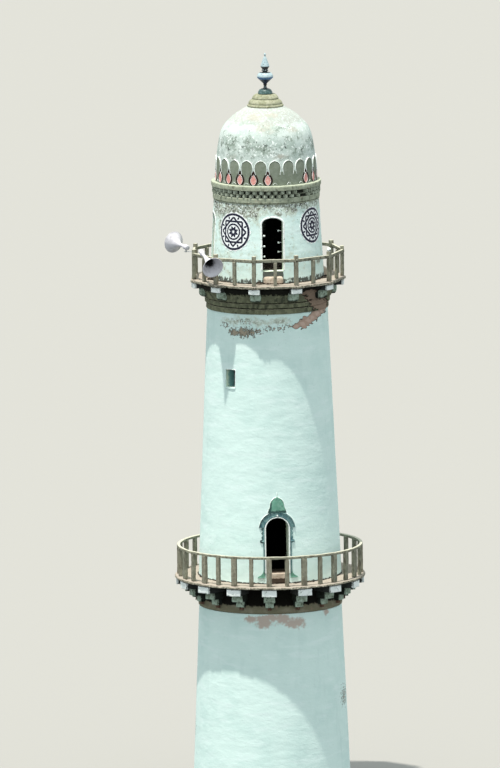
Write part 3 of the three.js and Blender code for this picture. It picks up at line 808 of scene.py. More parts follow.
# The band is painted near black towards the slab: painted shade under the balcony, with some soot
settle(band, 'grey_cement', *allQuarters('corbel_course_'), wear=(0.02, 0.25, 5, 0.015), keep=within(1.95),
       fields={'grime_and_shade': lambda a, z, r: 0.25 + 1.2 * clamp((z - 5.86) / 0.16)})
for part, material, chips in (('abacus', whitePaint, 0.04), ('upper', mintPaint, 0.02),
                              ('lower', mintPaint, 0.02), ('drop', brownCement, 0.01)):
    corbels = blocksAround('corbel_' + part, corbelLook[part], corbelLook['count'], corbelLook['azimuth'],
                           material, 0.022, 0.045)
    settle(corbels, 'corbel_paint', wear=(0.024, 0.1, 11, chips), keep=lambda p: p.z > 6.49,
           fields={'side': flankShadeField(corbelLook[part][2])})
print('corbels made')

# Lower balcony: slab, posts cast alternately wide and narrow, and a hand-run rail
lowerBalcony = {
    'posts': 32, 'wide': (0.17, 2.6325, 2.7475, 6.59, 7.42), 'narrow': (0.125, 2.6325, 2.7475, 6.59, 7.42),
}
lowerSlab = hoop('lower_balcony_floor', [
    (1.95, 6.501), (2.79, 6.501), (2.815, 6.515), (2.818, 6.55), (2.8, 6.585), (2.77, 6.6), (2.6, 6.6),
    (1.95, 6.6)], 0.035, 360, balconyCement)
settle(lowerSlab, 'grey_cement', 'lower_balcony_slab', wear=(0.022, 0.2, 8, 0.035), keep=within(2.0),
       fields={'grime_and_shade': lambda a, z, r: 1.1 * max(0.0, 1 - (r - 2.08) / 0.14) if z > 6.55 else 0.0})
for number, kind in enumerate(('wide', 'narrow')):
    first = corbelLook['azimuth'] + number * 360 / lowerBalcony['posts']
    posts = blocksAround('lower_posts_' + kind, lowerBalcony[kind], lowerBalcony['posts'] // 2, first,
                         castCement, spacing=0.06)
    settle(posts, 'grey_cement', wear=(0.014, 0.16, 21 + number, 0.018))
lowerRail = hoop('lower_handrail', [
    (2.635, 7.4), (2.745, 7.4), (2.75, 7.42), (2.748, 7.47), (2.735, 7.488), (2.7, 7.496), (2.66, 7.492),
    (2.637, 7.475), (2.63, 7.43)], 0.03, 320, castCement)
settle(lowerRail, 'grey_cement', *allQuarters('lower_railing_'), wear=(0.02, 0.3, 31, 0.014))
print('lower balcony made')

# Main stage
mainDoor = {'halfWidth': 0.34, 'springing': 8.19, 'rise': 0.34}
window1 = {'azimuth': -43.2, 'halfWidth': 0.175, 'sill': 12.35, 'head': 12.87}
mainLook = {
    'spall': [(66, 14.56, 7, 0.09), (58, 14.52, 6, 0.11), (50, 14.46, 6, 0.11), (43, 14.36, 6, 0.11),
              (36, 14.28, 6, 0.12), (29, 14.21, 5, 0.11), (23, 14.16, 4, 0.07), (150, 14.35, 12, 0.12),
              (-120, 14.42, 9, 0.09)],
    'flake': [(-42, 14.0, 6, 0.18), (-34, 13.97, 8, 0.2), (-24, 13.98, 9, 0.18), (-15, 14.04, 7, 0.13),
              (-4, 14.12, 8, 0.12), (6, 14.12, 8, 0.12), (15, 14.17, 8, 0.12), (-50, 14.2, 8, 0.16),
              (-30, 14.32, 14, 0.1), (120, 14.1, 14, 0.2), (-150, 14.0, 14, 0.2), (170, 13.9, 12, 0.2)],
    'scar': [(-39, 14.0, 9, 0.18), (-29.5, 14.0, 11, 0.22), (-20, 14.02, 9, 0.17), (140, 14.0, 12, 0.18)],
    'dirt': [(-40, 14.32, 14, 0.15), (-20, 14.32, 16, 0.16), (4, 14.32, 16, 0.14), (100, 14.3, 30, 0.15),
             (-120, 14.3, 30, 0.15), (170, 14.3, 20, 0.15)],
}


def mainGrime(azimuth, z, radius):  # soot at the wall's foot and a drip under the window
    if radius < 1.6 or z > 12.34:
        return 0.0
    drip = max(0.0, 1 - abs(azimuth - window1['azimuth']) / 3.2) * clamp((z - 11.9) / 0.3)
    return max(1.2 * max(0.0, 1 - (z - 6.6) / 0.12), 0.95 * drip)


def windowCutter(window):
    hole = boxAt((0, -2.0, (window['sill'] + window['head']) / 2),
                 (2 * window['halfWidth'], 2.0, window['head'] - window['sill']), 0.004, 0.3)
    return moved(hole, Matrix.Rotation(math.radians(window['azimuth']), 4, 'Z'))


mainRows = rowsBetween(tower['lowerTop'] + 0.001, tower['upperUnder'] - 0.001, 0.055, [(13.75, 14.57)])
mainWall = towerWall('main_wall', mainRows, 304, 1.33)
cutOut(mainWall, [archCutter(mainDoor, 6.5, 0), windowCutter(window1)])
mainLoss = lossField(blotches(mainLook['spall']))
weatherWall(mainWall, 6, mainLoss, 0.022)
mainDoorwayLightAndShade = doorwayLightAndShade(0.45)


def inWindow(z):
    return window1['sill'] - 0.01 < z < window1['head'] + 0.01


settle(mainWall, 'limewash', *allQuarters('main_wall_'), 'main_wall_over_window', 'window_cheek_left',
       'window_cheek_right', 'door_head', fields={
           'spall': mainLoss, 'flake': blotches(mainLook['flake']), 'grime_and_shade': mainGrime,
           'scar': lambda a, z, r: 0.68 * blotches(mainLook['scar'])(a, z),
           'dirt': lambda a, z, r: 0.85 * blotches(mainLook['dirt'])(a, z),
           'inside': lambda a, z, r: mainDoorwayLightAndShade(a, z, r) * (1.1 if z > window1['sill'] - 0.02 else 1.0),
           'painted_reveal_shade': lambda a, z, r: 1.0 if inWindow(z) and r < towerRadius(z) - 0.03 else 0.0})

threshold = blocksAround('door_threshold_stone', (0.678, 1.19, 2.085, 6.601, 6.899), 1, 0, sandstone,
                         0.02, 0.03)
# The threshold's low front and its inner end are painted dark brown: painted shade
settle(threshold, 'grey_cement', 'door_threshold', wear=(0.012, 0.15, 41), fields={
    'grime_and_shade': lambda a, z, r: max(1.3 * clamp((6.76 - z) / 0.03), 1.6 * clamp((2.02 - r) / 0.12))})
sillAt = wallSurface(towerRadius, window1['azimuth'])
sill = plateOver([(-0.185, 12.31), (0.18, 12.305), (0.185, 12.352), (-0.185, 12.356)], sillAt, 0.022, 0.03)
settle(makePiece('window_sill', sill, limewash), 'limewash', wear=(0.008, 0.08, 43))
# White edges along the window's top and right side: painted highlight where sunlight catches the opening
windowEdgeHighlight = merged([bandAlong([(-0.17, 12.876), (0, 12.88), (0.178, 12.876)], sillAt, 0.02, 0.012),
                 bandAlong([(0.181, 12.37), (0.182, 12.6), (0.181, 12.87)], sillAt, 0.018, 0.012)])
settle(makePiece('window_edge_painted_highlight', windowEdgeHighlight, whitePaint), 'limewash')
print('main stage made')

# Painted relief round the lower balcony door
mainFront = frontSurface(towerRadius)
springing = mainDoor['springing']


def arcPath(radius, z, first, last, count=28):
    turns = [math.radians(first + (last - first) * i / count) for i in range(count + 1)]
    return [(radius * math.cos(turn), z + radius * math.sin(turn)) for turn in turns]


def mirrored(outline):
    return [(-x, z) for x, z in reversed(outline)]


def symmetric(side):
    return [p for p in side if p[0] > 0] + mirrored(side)


jamb = [(0.358, 6.9 + 0.06 * i) for i in range(21)]
trimPath = jamb + arcPath(0.358, springing, 2, 178, 40) + mirrored(jamb)
trim = makePiece('door_trim', bandAlong(trimPath, mainFront, 0.044, 0.032), whitePaint)
settle(trim, 'relief_green', 'door_surround')


# A painted shadow along the arch band's outer edge, stronger on the left
def archEdgeShadow(azimuth, z, radius):
    reach = math.hypot(radius * math.sin(math.radians(azimuth)), z - springing)
    return 1.2 * clamp((reach - 0.505) / 0.02) * (1.0 if azimuth < 0 else 0.5)


bandOutline = arcPath(0.536, springing, 6.4, 173.6, 36) + arcPath(0.384, springing, 171, 9.0, 30)
archBand = makePiece('door_arch_band', merged([
    plateOver(bandOutline, mainFront, 0.024, 0.03),
    bandAlong(arcPath(0.515, springing, 7, 173, 40), mainFront, 0.036, 0.042),
    bandAlong(arcPath(0.405, springing, 9, 171, 40), mainFront, 0.03, 0.036)]), slateTeal)
settle(archBand, 'relief_green', fields={'grime_and_shade': archEdgeShadow})

capSide = [(0.268, 8.7), (0.243, 8.78), (0.207, 8.86), (0.196, 8.95), (0.165, 9.03), (0.108, 9.09),
           (0.05, 9.13), (0.012, 9.15)]


def capHeight(x, z):
    half = 0.25 if z < 8.8 else 0.25 - 0.6 * (z - 8.8)
    return 0.012 + 0.03 * math.sqrt(max(0.0, 1 - (x / max(half, 0.02)) ** 2))


capOutline = symmetric([(0.27, 8.685)] + capSide)
cap = makePiece('door_cap', plateOver(capOutline, mainFront, capHeight, 0.022), seaGreen)
settle(cap, 'relief_green', fields={
    'grime_and_shade': lambda a, z, r: max(1.3 * max(0.0, 1 - (z - 8.7) / 0.12), -0.26 * a - 0.35)})

footSide = [(0.382, 6.76), (0.59, 6.76), (0.592, 6.785), (0.5, 6.84), (0.446, 6.9), (0.424, 6.98),
            (0.382, 6.98)]
columnSide = [(0.382, 6.97), (0.424, 6.97), (0.42, 7.2), (0.419, 7.6), (0.42, 7.77), (0.446, 7.8),
              (0.51, 7.815), (0.51, 7.868), (0.44, 7.9), (0.462, 7.93), (0.47, 7.96), (0.452, 7.99),
              (0.43, 8.02), (0.452, 8.05), (0.47, 8.08), (0.452, 8.11), (0.43, 8.14), (0.452, 8.17),
              (0.47, 8.2), (0.456, 8.235), (0.382, 8.235)]
spikeShapes = [bandAlong([(0, 9.14 + 0.03 * i) for i in range(6)], mainFront, 0.02, 0.018),
               plateOver(arcPath(0.024, 8.61, 0, 345, 12), mainFront, 0.05, 0.02)]
columnShapes = []
footShapes = []
for sign in (1, -1):
    column, foot = (columnSide, footSide) if sign > 0 else (mirrored(columnSide), mirrored(footSide))
    capEdge = [(sign * (x + 0.01), z) for x, z in rounded(capSide, 3)]
    archEdge = arcPath(0.542, springing, 90 - 30 * sign, 90 - 82 * sign, 20)
    shaft = [(sign * 0.401, 6.9 + 0.06 * i) for i in range(15)]
    spikeShapes += [bandAlong(capEdge, mainFront, 0.012, 0.018),
                    bandAlong(archEdge, mainFront, 0.012, 0.02)]
    columnShapes += [plateOver(column, mainFront, 0.016, 0.03), bandAlong(shaft, mainFront, 0.036, 0.04),
                     bandAlong([(sign * 0.385, 7.842), (sign * 0.505, 7.842)], mainFront, 0.05, 0.04)]
    footShapes += [plateOver(foot, mainFront, 0.018, 0.03),
                   bandAlong([(sign * 0.39, 6.775), (sign * 0.585, 6.775)], mainFront, 0.03, 0.03)]
settle(makePiece('door_cap_spike', merged(spikeShapes), whitePaint), 'relief_green')
settle(makePiece('door_column_feet', merged(footShapes), seaGreen), 'relief_green', fields={
    'grime_and_shade': lambda a, z, r: 0.9 * clamp((6.8 - z) / 0.05)})
settle(makePiece('door_colonnettes', merged(columnShapes), slateTeal), 'relief_green', fields={
    'grime_and_shade': lambda a, z, r: max(0.8 * clamp((7.02 - z) / 0.1), 1.1 if a < -12.1 else 0.0)})
print('door surround made')

# Rings, cove and brackets under the upper balcony, broken away on the right
coveBreak = [(46, 14.86, 8, 0.16), (40, 15.02, 7, 0.14), (54, 14.72, 9, 0.16), (62, 14.62, 8, 0.12),
             (34, 15.12, 6, 0.1), (-100, 14.7, 8, 0.08), (165, 14.95, 9, 0.14)]
coveProfile = [
    (1.74, 14.532), (1.798, 14.533), (1.809, 14.55), (1.809, 14.68), (1.8, 14.689), (1.775, 14.694),
    (1.775, 14.712), (1.835, 14.716), (1.849, 14.73), (1.849, 14.838), (1.838, 14.85), (1.8, 14.854),
    (1.8, 14.872), (1.885, 14.878), (1.9, 14.9), (1.908, 14.95), (1.925, 15.02), (1.955, 15.09),
    (1.985, 15.15), (2.03, 15.21), (2.08, 15.26), (2.08, 15.329), (1.74, 15.329)]
cove = hoop('upper_cove_plaster', coveProfile, 0.03, 304, coveRender)
coveLoss = lossField(blotches(coveBreak))
for vertex in cove.data.vertices:
    x, y, z = vertex.co
    radius = math.hypot(x, y)
    if radius < 1.76:
        continue
    gone = clamp((coveLoss(azimuthOf(x, y), z, 1.9) - 0.36) / 0.1)
    core = 1.795 + 0.02 * noise.noise(Vector((x, y, z)) / 0.06)
    target = radius + (min(radius, core + 0.25 * max(0, z - 14.9)) - radius) * gone
    vertex.co = (x * target / radius, y * target / radius, z)


# Near black in the two grooves and rising to the slab: painted shade, with some soot
def coveSootAndShade(azimuth, z, radius):
    if abs(z - 14.703) < 0.014 or abs(z - 14.864) < 0.014:
        return 1.4
    return 0.2 + 1.2 * clamp((z - 15.0) / 0.22)


settle(cove, 'khaki_plaster', 'upper_cove', wear=(0.01, 0.15, 51, 0.012), keep=within(1.76),
       fields={'spall': lambda a, z, r: coveLoss(a, z, 1.9), 'grime_and_shade': coveSootAndShade})

# The upper balcony has eleven sides: posts and brackets at its corners, balusters between them
upperBalcony = {
    'sides': 11, 'abacus': (0.345, 1.9, 2.268, 15.172, 15.329), 'body': (0.335, 1.8, 2.048, 14.912, 15.19),
    'post': (0.122, 2.1515, 2.2745, 15.43, 16.328), 'baluster': (0.108, 2.097, 2.2025, 15.43, 16.13),
    'ballAzimuth': 49.1,
}
sides = upperBalcony['sides']
upperCorner = 180 / sides
tops = blocksAround('bracket_tops', upperBalcony['abacus'], sides, upperCorner, whitePaint, 0.018, 0.04)
settle(tops, 'limewash', wear=(0.016, 0.12, 61, 0.02), keep=lambda p: p.z > 15.32,
       fields={'side': flankShadeField(upperBalcony['abacus'][2])})
bracketBody = standingBlock(*upperBalcony['body'], 0.03, 0.035)
bodyPoints = []
for x, y, z in bracketBody[0]:  # the foot is rounded like a cushion
    low = max(0.0, (15.03 - z) / 0.12)
    bodyPoints.append((x * (1 - 0.22 * low * low), y + 0.05 * low * low if y < -1.9 else y, z))
bodies = copiesAround('bracket_bodies', (bodyPoints, bracketBody[1]), sides, upperCorner, mintPaint)
# Bracket bodies are painted near black but for their fronts: bare cement with painted shade between the
# brackets
settle(bodies, 'limewash', wear=(0.016, 0.12, 62, 0.02),
       fields={'side': lambda a, z, r: 1.0 if r < upperBalcony['body'][2] - 0.13 else 0.2})
print('cove and brackets made')


def polygonRadius(radius, azimuth):  # radius is the one at the corners
    step = 360 / sides
    flat = math.radians((azimuth + step / 2) % step - step / 2)
    return radius * math.cos(math.radians(step / 2)) / math.cos(flat)


def polygonHoop(name, profile, step, material):  # like hoop, but it follows the eleven sides
    points, faces = turned(refined(profile, step, closed=True), 396, closed=True)
    shaped = []
    for x, y, z in points:
        radius = math.hypot(x, y)
        target = polygonRadius(radius, azimuthOf(x, y))
        shaped.append((x * target / radius, y * target / radius, z))
    return makePiece(name, (shaped, faces), material)


upperSlab = polygonHoop('upper_balcony_floor', [
    (1.6, 15.331), (2.305, 15.331), (2.33, 15.345), (2.334, 15.38), (2.325, 15.42), (2.295, 15.44),
    (2.1, 15.44), (1.6, 15.44)], 0.035, balconyCement)
settle(upperSlab, 'grey_cement', 'upper_balcony_slab', wear=(0.022, 0.18, 71, 0.045), keep=within(1.66),
       fields={'grime_and_shade': lambda a, z, r: 1.2 * max(0.0, 1 - (r - 1.68) / 0.2) if z > 15.39 else 0.0})

upperRail = polygonHoop('upper_handrail', [
    (2.207, 16.118), (2.277, 16.118), (2.284, 16.128), (2.2845, 16.2), (2.278, 16.22), (2.262, 16.226),
    (2.215, 16.226), (2.202, 16.216), (2.2, 16.13)], 0.022, castCement)
# The handrail's lower part is painted darker: painted shade
settle(upperRail, 'grey_cement', *allQuarters('upper_railing_'), wear=(0.012, 0.25, 72, 0.012),
       fields={'grime_and_shade': lambda a, z, r: 0.75 if z < 16.19 else 0.0})

for name, part, first, size in (('upper_posts', 'post', upperCorner, 0.14),
                                ('upper_balusters', 'baluster', 0, 0.12)):
    sticks = blocksAround(name, upperBalcony[part], sides, first, castCement)
    settle(sticks, 'grey_cement', wear=(0.012, size, 73, 0.016))
knob = turned(rounded([(0, 16.315), (0.036, 16.318), (0.04, 16.33), (0.058, 16.35), (0.0615, 16.374),
                       (0.055, 16.402), (0.035, 16.425), (0, 16.434)], 3), 24)
knobPlace = Matrix.Translation(polar(upperBalcony['ballAzimuth'], 2.213, 0))
settle(makePiece('upper_post_ball', moved(knob, knobPlace), whitePaint), 'grey_cement')
print('upper balcony made')

# Drum with four doorways; the one at the back is walled up behind its arch
drumDoor = {'halfWidth': 0.31, 'sill': tower['drumFoot'], 'springing': 17.18, 'rise': 0.18, 'blindAt': 1.3}
drumLook = {
    'dirt': [(15, 17.58, 11, 0.16), (7, 17.5, 8, 0.15), (24, 17.54, 9, 0.16), (-25, 17.63, 10, 0.1),
             (-59, 17.62, 10, 0.16), (38, 17.62, 8, 0.1), (-8, 17.62, 8, 0.1), (-66, 17.1, 4, 0.4),
             (100, 17.5, 12, 0.2), (-120, 17.5, 14, 0.2), (160, 17.6, 14, 0.15), (60, 15.95, 9, 0.12)],
    'spall': [(-105, 17.6, 6, 0.08), (150, 17.62, 8, 0.08)],
}


def drumGrime(azimuth, z, radius):  # soot under the cornice and black damp at the foot
    foot = 1.1 * clamp((15.78 - z) / 0.25)
    if radius < 1.5:
        return 0.6 * foot
    if abs((azimuth + 45) % 90 - 45) < 10.8 and z < drumDoor['sill']:
        return 1.2
    return max(foot, 0.75 * max(0.0, (z - 17.64) / 0.11))


def drumDirt(azimuth, z, radius):  # rain carries the dirt of the cornice down the wall
    start = 16.85 if abs(azimuth + 50) < 35 else 17.1
    return max(0.9 * clamp((z - start) / 0.6), blotches(drumLook['dirt'])(azimuth, z),
               0.42 + 0.13 * max(0.0, 1 - abs(azimuth + 55) / 35))


drumFloor = makePiece('drum_plinth', turned(refined([
    (0, 15.446), (1.61, 15.446), (1.6, 15.784), (0, 15.784)], 0.06), 240), sandstone)
# The floor inside the drum is painted dark all over: painted shade
settle(drumFloor, 'grey_cement', 'drum_floor', wear=(0.004, 0.2, 7), fields={'grime_and_shade': lambda a, z, r: 0.9})

drumRows = rowsBetween(tower['upperTop'] + 0.004, tower['drumTop'] - 0.001, 0.045)
drumWall = towerWall('drum_wall', drumRows, 280, 1.28)
for k in range(4):
    near = drumDoor['blindAt'] if k == 2 else 0.7
    cutOut(drumWall, [archCutter(drumDoor, drumDoor['sill'], 90 * k, near)])
drumLoss = lossField(blotches(drumLook['spall']))
weatherWall(drumWall, 9, drumLoss)
settle(drumWall, 'limewash', *allQuarters('drum_pier_'),
       *['drum_head_' + side for side in ('front', 'right', 'back', 'left')],
       fields={'dirt': drumDirt, 'spall': drumLoss, 'grime_and_shade': drumGrime, 'inside': doorwayLightAndShade(0.32)})

doorstep = blocksAround('drum_doorsteps', (0.6, 1.45, 1.8, 15.36, 15.66), 4, 0, sandstone, 0.09, 0.035)
settle(doorstep, 'grey_cement', wear=(0.022, 0.12, 75, 0.02), fields={
    'grime_and_shade': lambda a, z, r: 1.2 * max(0.0, 1 - (z - 15.44) / 0.06)})

drumJamb = [(0.335, 15.83 + 0.05 * i) for i in range(27)]
drumEdge = drumJamb + archLine(0.335, drumDoor['springing'], 0.205, 30) + mirrored(drumJamb)
drumTrim = copiesAround('drum_door_edges', bandAlong(drumEdge, mainFront, 0.055, 0.01), 4, 0, whitePaint)
settle(drumTrim, 'limewash', wear=(0.003, 0.1, 76))
print('drum made')

# Roundels: plain eight-pointed stars in a double ring with a scalloped edge, thick navy strokes on white
roundelLook = {
    'places': [(-44.1, 16.93, 0.58), (51.0, 17.05, 0.55), (136.0, 16.95, 0.56), (-136.0, 16.95, 0.56)],
    'outerRing': 0.085, 'innerRing': 0.065, 'star': 0.072,  # widths of the strokes
}


def circle(radius, step=6, lobe=0.0):
    turns = [math.radians(k) for k in range(0, 360, step)]
    return [((radius + lobe * math.cos(18 * turn)) * math.cos(turn),
             (radius + lobe * math.cos(18 * turn)) * math.sin(turn)) for turn in turns]


def spun(points, turns):
    return [(x * math.cos(turn) - y * math.sin(turn), x * math.sin(turn) + y * math.cos(turn))
            for turn in turns for x, y in points]


whiteShapes = []
navyShapes = []
for azimuth, centre, radius in roundelLook['places']:
    def onWall(x, z, out, wall=wallSurface(towerRadius, azimuth), centre=centre):
        return wall(x, z + centre, out)

    whiteShapes.append(plateOver(circle(0.98 * radius, 4, 0.02), onWall, 0.003, 0.05, sink=0.012))
    for ring, width in ((circle(0.88 * radius), 'outerRing'), (circle(0.38 * radius, 10), 'innerRing')):
        navyShapes.append(bandAlong(ring, onWall, roundelLook[width], 0.006, closed=True, sink=0.012))
    for turn in (0, 45):
        square = spun([(0.74 * radius, 0)], [math.radians(turn + 90 * k) for k in range(4)])
        for a, b in zip(square, square[1:] + square[:1]):
            side = [(a[0] + (b[0] - a[0]) * t / 8, a[1] + (b[1] - a[1]) * t / 8) for t in range(9)]
            navyShapes.append(bandAlong(side, onWall, roundelLook['star'], 0.006, sink=0.012))
    for k in range(8):
        for start, length, half in ((0.03, 0.15, 0.04), (0.66 * radius, 0.1, 0.03)):
            leaf = [(start + length * t, half * math.sin(math.pi * t)) for t in (0, 0.25, 0.5, 0.75, 1)]
            leaf += [(x, -y) for x, y in leaf[-2:0:-1]]
            outline = spun(leaf, [math.radians(45 * k + 22.5)])
            navyShapes.append(plateOver(outline, onWall, 0.006, 0.04, sink=0.012))
roundelGround = makePiece('roundel_grounds', merged(whiteShapes), freshWhite)
settle(roundelGround, 'limewash')
roundelStars = makePiece('roundel_stars', merged(navyShapes), navyPaint)
settle(roundelStars, 'limewash')

# Small lamps on short arms from the doorway's jambs: side, how far out and across, heights
lampLook = [(-1, 1.5, 0.245, (16.22, 16.52, 16.83)), (1, 1.32, 0.2, (16.33, 16.6, 16.95))]
lampShapes = []
jambAt = 0.325
bulb = turned([(0, -0.034), (0.024, -0.024), (0.033, 0), (0.024, 0.024), (0, 0.034)], 12)
for sign, out, across, heights in lampLook:
    for z in heights:
        middle = sign * (jambAt + across) / 2
        lampShapes.append(moved(bulb, Matrix.Translation((sign * across, -out, z))))
        lampShapes.append(boxAt((middle, -out, z), (jambAt - across, 0.014, 0.014), 0.004))
lamps = makePiece('doorway_lamps', merged(lampShapes), whitePaint)
settle(lamps, 'limewash')
print('roundels made')

# Cornice: plain band, two staggered courses of corner-set bricks with a few lost, and a worn ledge
corniceLook = {'teeth': 46, 'courses': [(17.95, 18.034, 0.0, 5), (18.058, 18.15, 0.5, 4)]}
cornice = hoop('cornice_plaster', [
    (1.25, 17.751), (1.562, 17.751), (1.566, 17.79), (1.576, 17.795), (1.579, 17.93), (1.568, 17.945),
    (1.5, 17.948), (1.5, 18.034), (1.582, 18.036), (1.586, 18.056), (1.5, 18.058), (1.5, 18.15),
    (1.605, 18.153), (1.62, 18.165), (1.623, 18.2), (1.623, 18.275), (1.612, 18.297), (1.57, 18.3095),
    (1.25, 18.3095)], 0.035, 276, khakiPlaster)
# Near black in the cells behind the bricks and along the undercut line: painted shade, with some soot
settle(cornice, 'khaki_plaster', 'cornice', wear=(0.01, 0.14, 81, 0.014), keep=within(1.3), fields={
    'grime_and_shade': lambda a, z, r: 1.4 if (r < 1.56 and 17.93 < z < 18.16) or abs(z - 17.79) < 0.006
    else 0.45 if z < 17.95 else 0.2})


def tooth(z0, z1):
    plan = [(-0.078, 1.47), (0.078, 1.47), (0.078, 1.505), (0.022, 1.594), (-0.022, 1.594), (-0.078, 1.505)]
    return lofted([[(x, -r, z) for x, r in plan] for z in (z0, (z0 + z1) / 2, z1)])


for number, (z0, z1, shift, lost) in enumerate(corniceLook['courses']):
    spacing = 360 / corniceLook['teeth']
    teeth = copiesAround('cornice_teeth_' + str(number + 1), tooth(z0, z1), corniceLook['teeth'] - 1,
                         (lost + 1 + shift) * spacing, toothPaint, spacing=spacing)
    settle(teeth, 'khaki_plaster', wear=(0.006, 0.06, 83 + number), angle=30)
print('cornice made')

# Dome
domeProfile = rounded([(1.49, 18.31), (1.482, 18.55), (1.47, 18.83), (1.44, 19.18), (1.406, 19.4),
                       (1.375, 19.56), (1.325, 19.74), (1.24, 19.91), (1.1, 20.08), (0.912, 20.25),
                       (0.7, 20.385), (0.54, 20.47)], 5)
domeInside = [(0, 20.32), (0.5, 20.29), (0.85, 20.13), (1.09, 19.88), (1.22, 19.54), (1.28, 19.18),
              (1.31, 18.83), (1.33, 18.31)]
domeLook = {
    'flake': [(-10, 19.45, 20, 0.3), (24, 19.65, 22, 0.28), (-46, 19.6, 12, 0.2), (5, 19.25, 26, 0.22),
              (40, 19.3, 14, 0.3), (20, 19.95, 30, 0.14), (120, 19.4, 40, 0.4), (-130, 19.5, 40, 0.4),
              (180, 19.6, 30, 0.3)],
    'tan': [(-27, 20.24, 22, 0.14), (8, 20.3, 22, 0.1), (-8, 19.95, 22, 0.2), (34, 19.9, 14, 0.14),
            (-50, 19.1, 10, 0.14), (12, 19.15, 12, 0.1), (100, 19.8, 20, 0.2), (-120, 19.2, 20, 0.2),
            (170, 20.1, 20, 0.14)],
    'band': (19.42, 0.75),  # mildew all round: height and half its depth
}


def mildew(azimuth, z, radius):
    centre, half = domeLook['band']
    return max(0.92 * (1 - 0.5 * abs(z - centre) / half), blotches(domeLook['flake'])(azimuth, z))


def domeRadius(z):
    for (r0, z0), (r1, z1) in zip(domeProfile, domeProfile[1:]):
        if z <= z1:
            return r0 + (r1 - r0) * (z - z0) / (z1 - z0)
    return domeProfile[-1][0]


domeCrown = [(0.3, tower['domeTop']), (0, tower['domeTop'])]
domeSection = domeInside + refined(domeProfile, 0.05) + domeCrown
dome = makePiece('dome_shell', turned(domeSection, 288), domePlaster)
settle(dome, 'dome_plaster', 'dome', wear=(0.012, 0.35, 91),
       keep=lambda p: p.z < tower['domeFoot'] + 0.02 or p.z > tower['domeTop'] - 0.02,
       fields={'flake': mildew, 'tan': blotches(domeLook['tan']),
               'crown': lambda a, z, r: clamp((z - 19.75) / 0.35)})

# Petals round the dome's foot, with raised white rims, and rose lozenges in dark niches between them.
# The niches and lozenges skip two places, where green paint runs down to the ledge over a ragged seam.
petalSpacing = 360 / 22
petalPlaces = {  # count and first azimuth
    'petal': (22, -12.6), 'lozenge': (20, -4.42 + 3 * petalSpacing), 'bare': (2, -4.42 + petalSpacing),
}
domeAt = wallSurface(domeRadius)


def ornament(name, places, shape, material, wear=None):
    count, first = petalPlaces[places]
    pieces = copiesAround(name, shape, count, first, material, spacing=petalSpacing)
    settle(pieces, 'dome_plaster', wear=wear)


def domePlate(side, height, spacing):
    return plateOver(symmetric(side), domeAt, height, spacing, sink=0.02)


def domeBand(line, width, height, closed=False):
    return bandAlong(line, domeAt, width, height, closed, sink=0.02)


petalSide = [(0.19, 18.318), (0.15, 18.345), (0.11, 18.385), (0.084, 18.44), (0.08, 18.5), (0.108, 18.56),
             (0.14, 18.62), (0.152, 18.68), (0.168, 18.8), (0.16, 18.88), (0.14, 18.94), (0.108, 18.98),
             (0.055, 19.017), (0.0, 19.03)]
crown = rounded([(x + 0.01, z) for x, z in petalSide[6:-1]] + [(0.0, 19.041)], 3)
nicheSide = [(0.08, 18.318), (0.13, 18.38), (0.15, 18.45), (0.14, 18.52), (0.098, 18.61), (0.04, 18.68),
             (0.0, 18.74)]
bareSide = [(x + 0.01, z) for x, z in nicheSide[:-1]] + [(0.0, 18.72)]
seam = [(0.012 * math.sin(2.6 * k), 18.33 + 0.045 * k) for k in range(9)]
lozengeSide = [(0.02, 18.325), (0.064, 18.375), (0.086, 18.435), (0.086, 18.48), (0.06, 18.548),
               (0.026, 18.6), (0.0, 18.63)]
roseSide = [(x * 0.94, 18.47 + (z - 18.47) * 0.94) for x, z in lozengeSide[:-1]] + [(0.0, 18.618)]
ornament('dome_petals', 'petal', domePlate(rounded(petalSide, 2), 0.012, 0.05), petalPaint)
ornament('petal_rims', 'petal', merged([
    domeBand(symmetric(crown), 0.018, 0.022),
    domeBand(arcPath(0.055, 18.325, 0, 180, 10), 0.016, 0.018)]), whitePaint)
ornament('lozenge_niches', 'lozenge', domePlate(nicheSide, 0.015, 0.06), nicheBrownAndShade)
ornament('bare_niches', 'bare', domePlate(bareSide, 0.016, 0.06), petalPaint)
ornament('bare_niche_seams', 'bare', domeBand(seam, 0.016, 0.014), whitePaint, wear=(0.006, 0.03, 93))
ornament('lozenge_rims', 'lozenge', domeBand(symmetric(lozengeSide), 0.016, 0.024, closed=True), whitePaint)
ornament('rose_lozenges', 'lozenge', domePlate(roseSide, 0.019, 0.05), rosePaint)
print('dome made')

# Stepped base and glazed finial
baseProfile = rounded([(0.53, 20.4715), (0.5385, 20.48), (0.5385, 20.512), (0.53, 20.53), (0.503, 20.548),
                       (0.5, 20.56), (0.503, 20.578), (0.486, 20.618), (0.455, 20.652), (0.418, 20.682),
                       (0.389, 20.695), (0.386, 20.704), (0.393, 20.718), (0.38, 20.752), (0.344, 20.802),
                       (0.3, 20.836)], 2)
finialBase = makePiece('finial_steps', turned(
    [(0, 20.471)] + refined(baseProfile, 0.03) + [(0, 20.838)], 160), khakiCream)
settle(finialBase, 'khaki_plaster', 'finial_base', wear=(0.008, 0.12, 95, 0.01), keep=within(0.2))

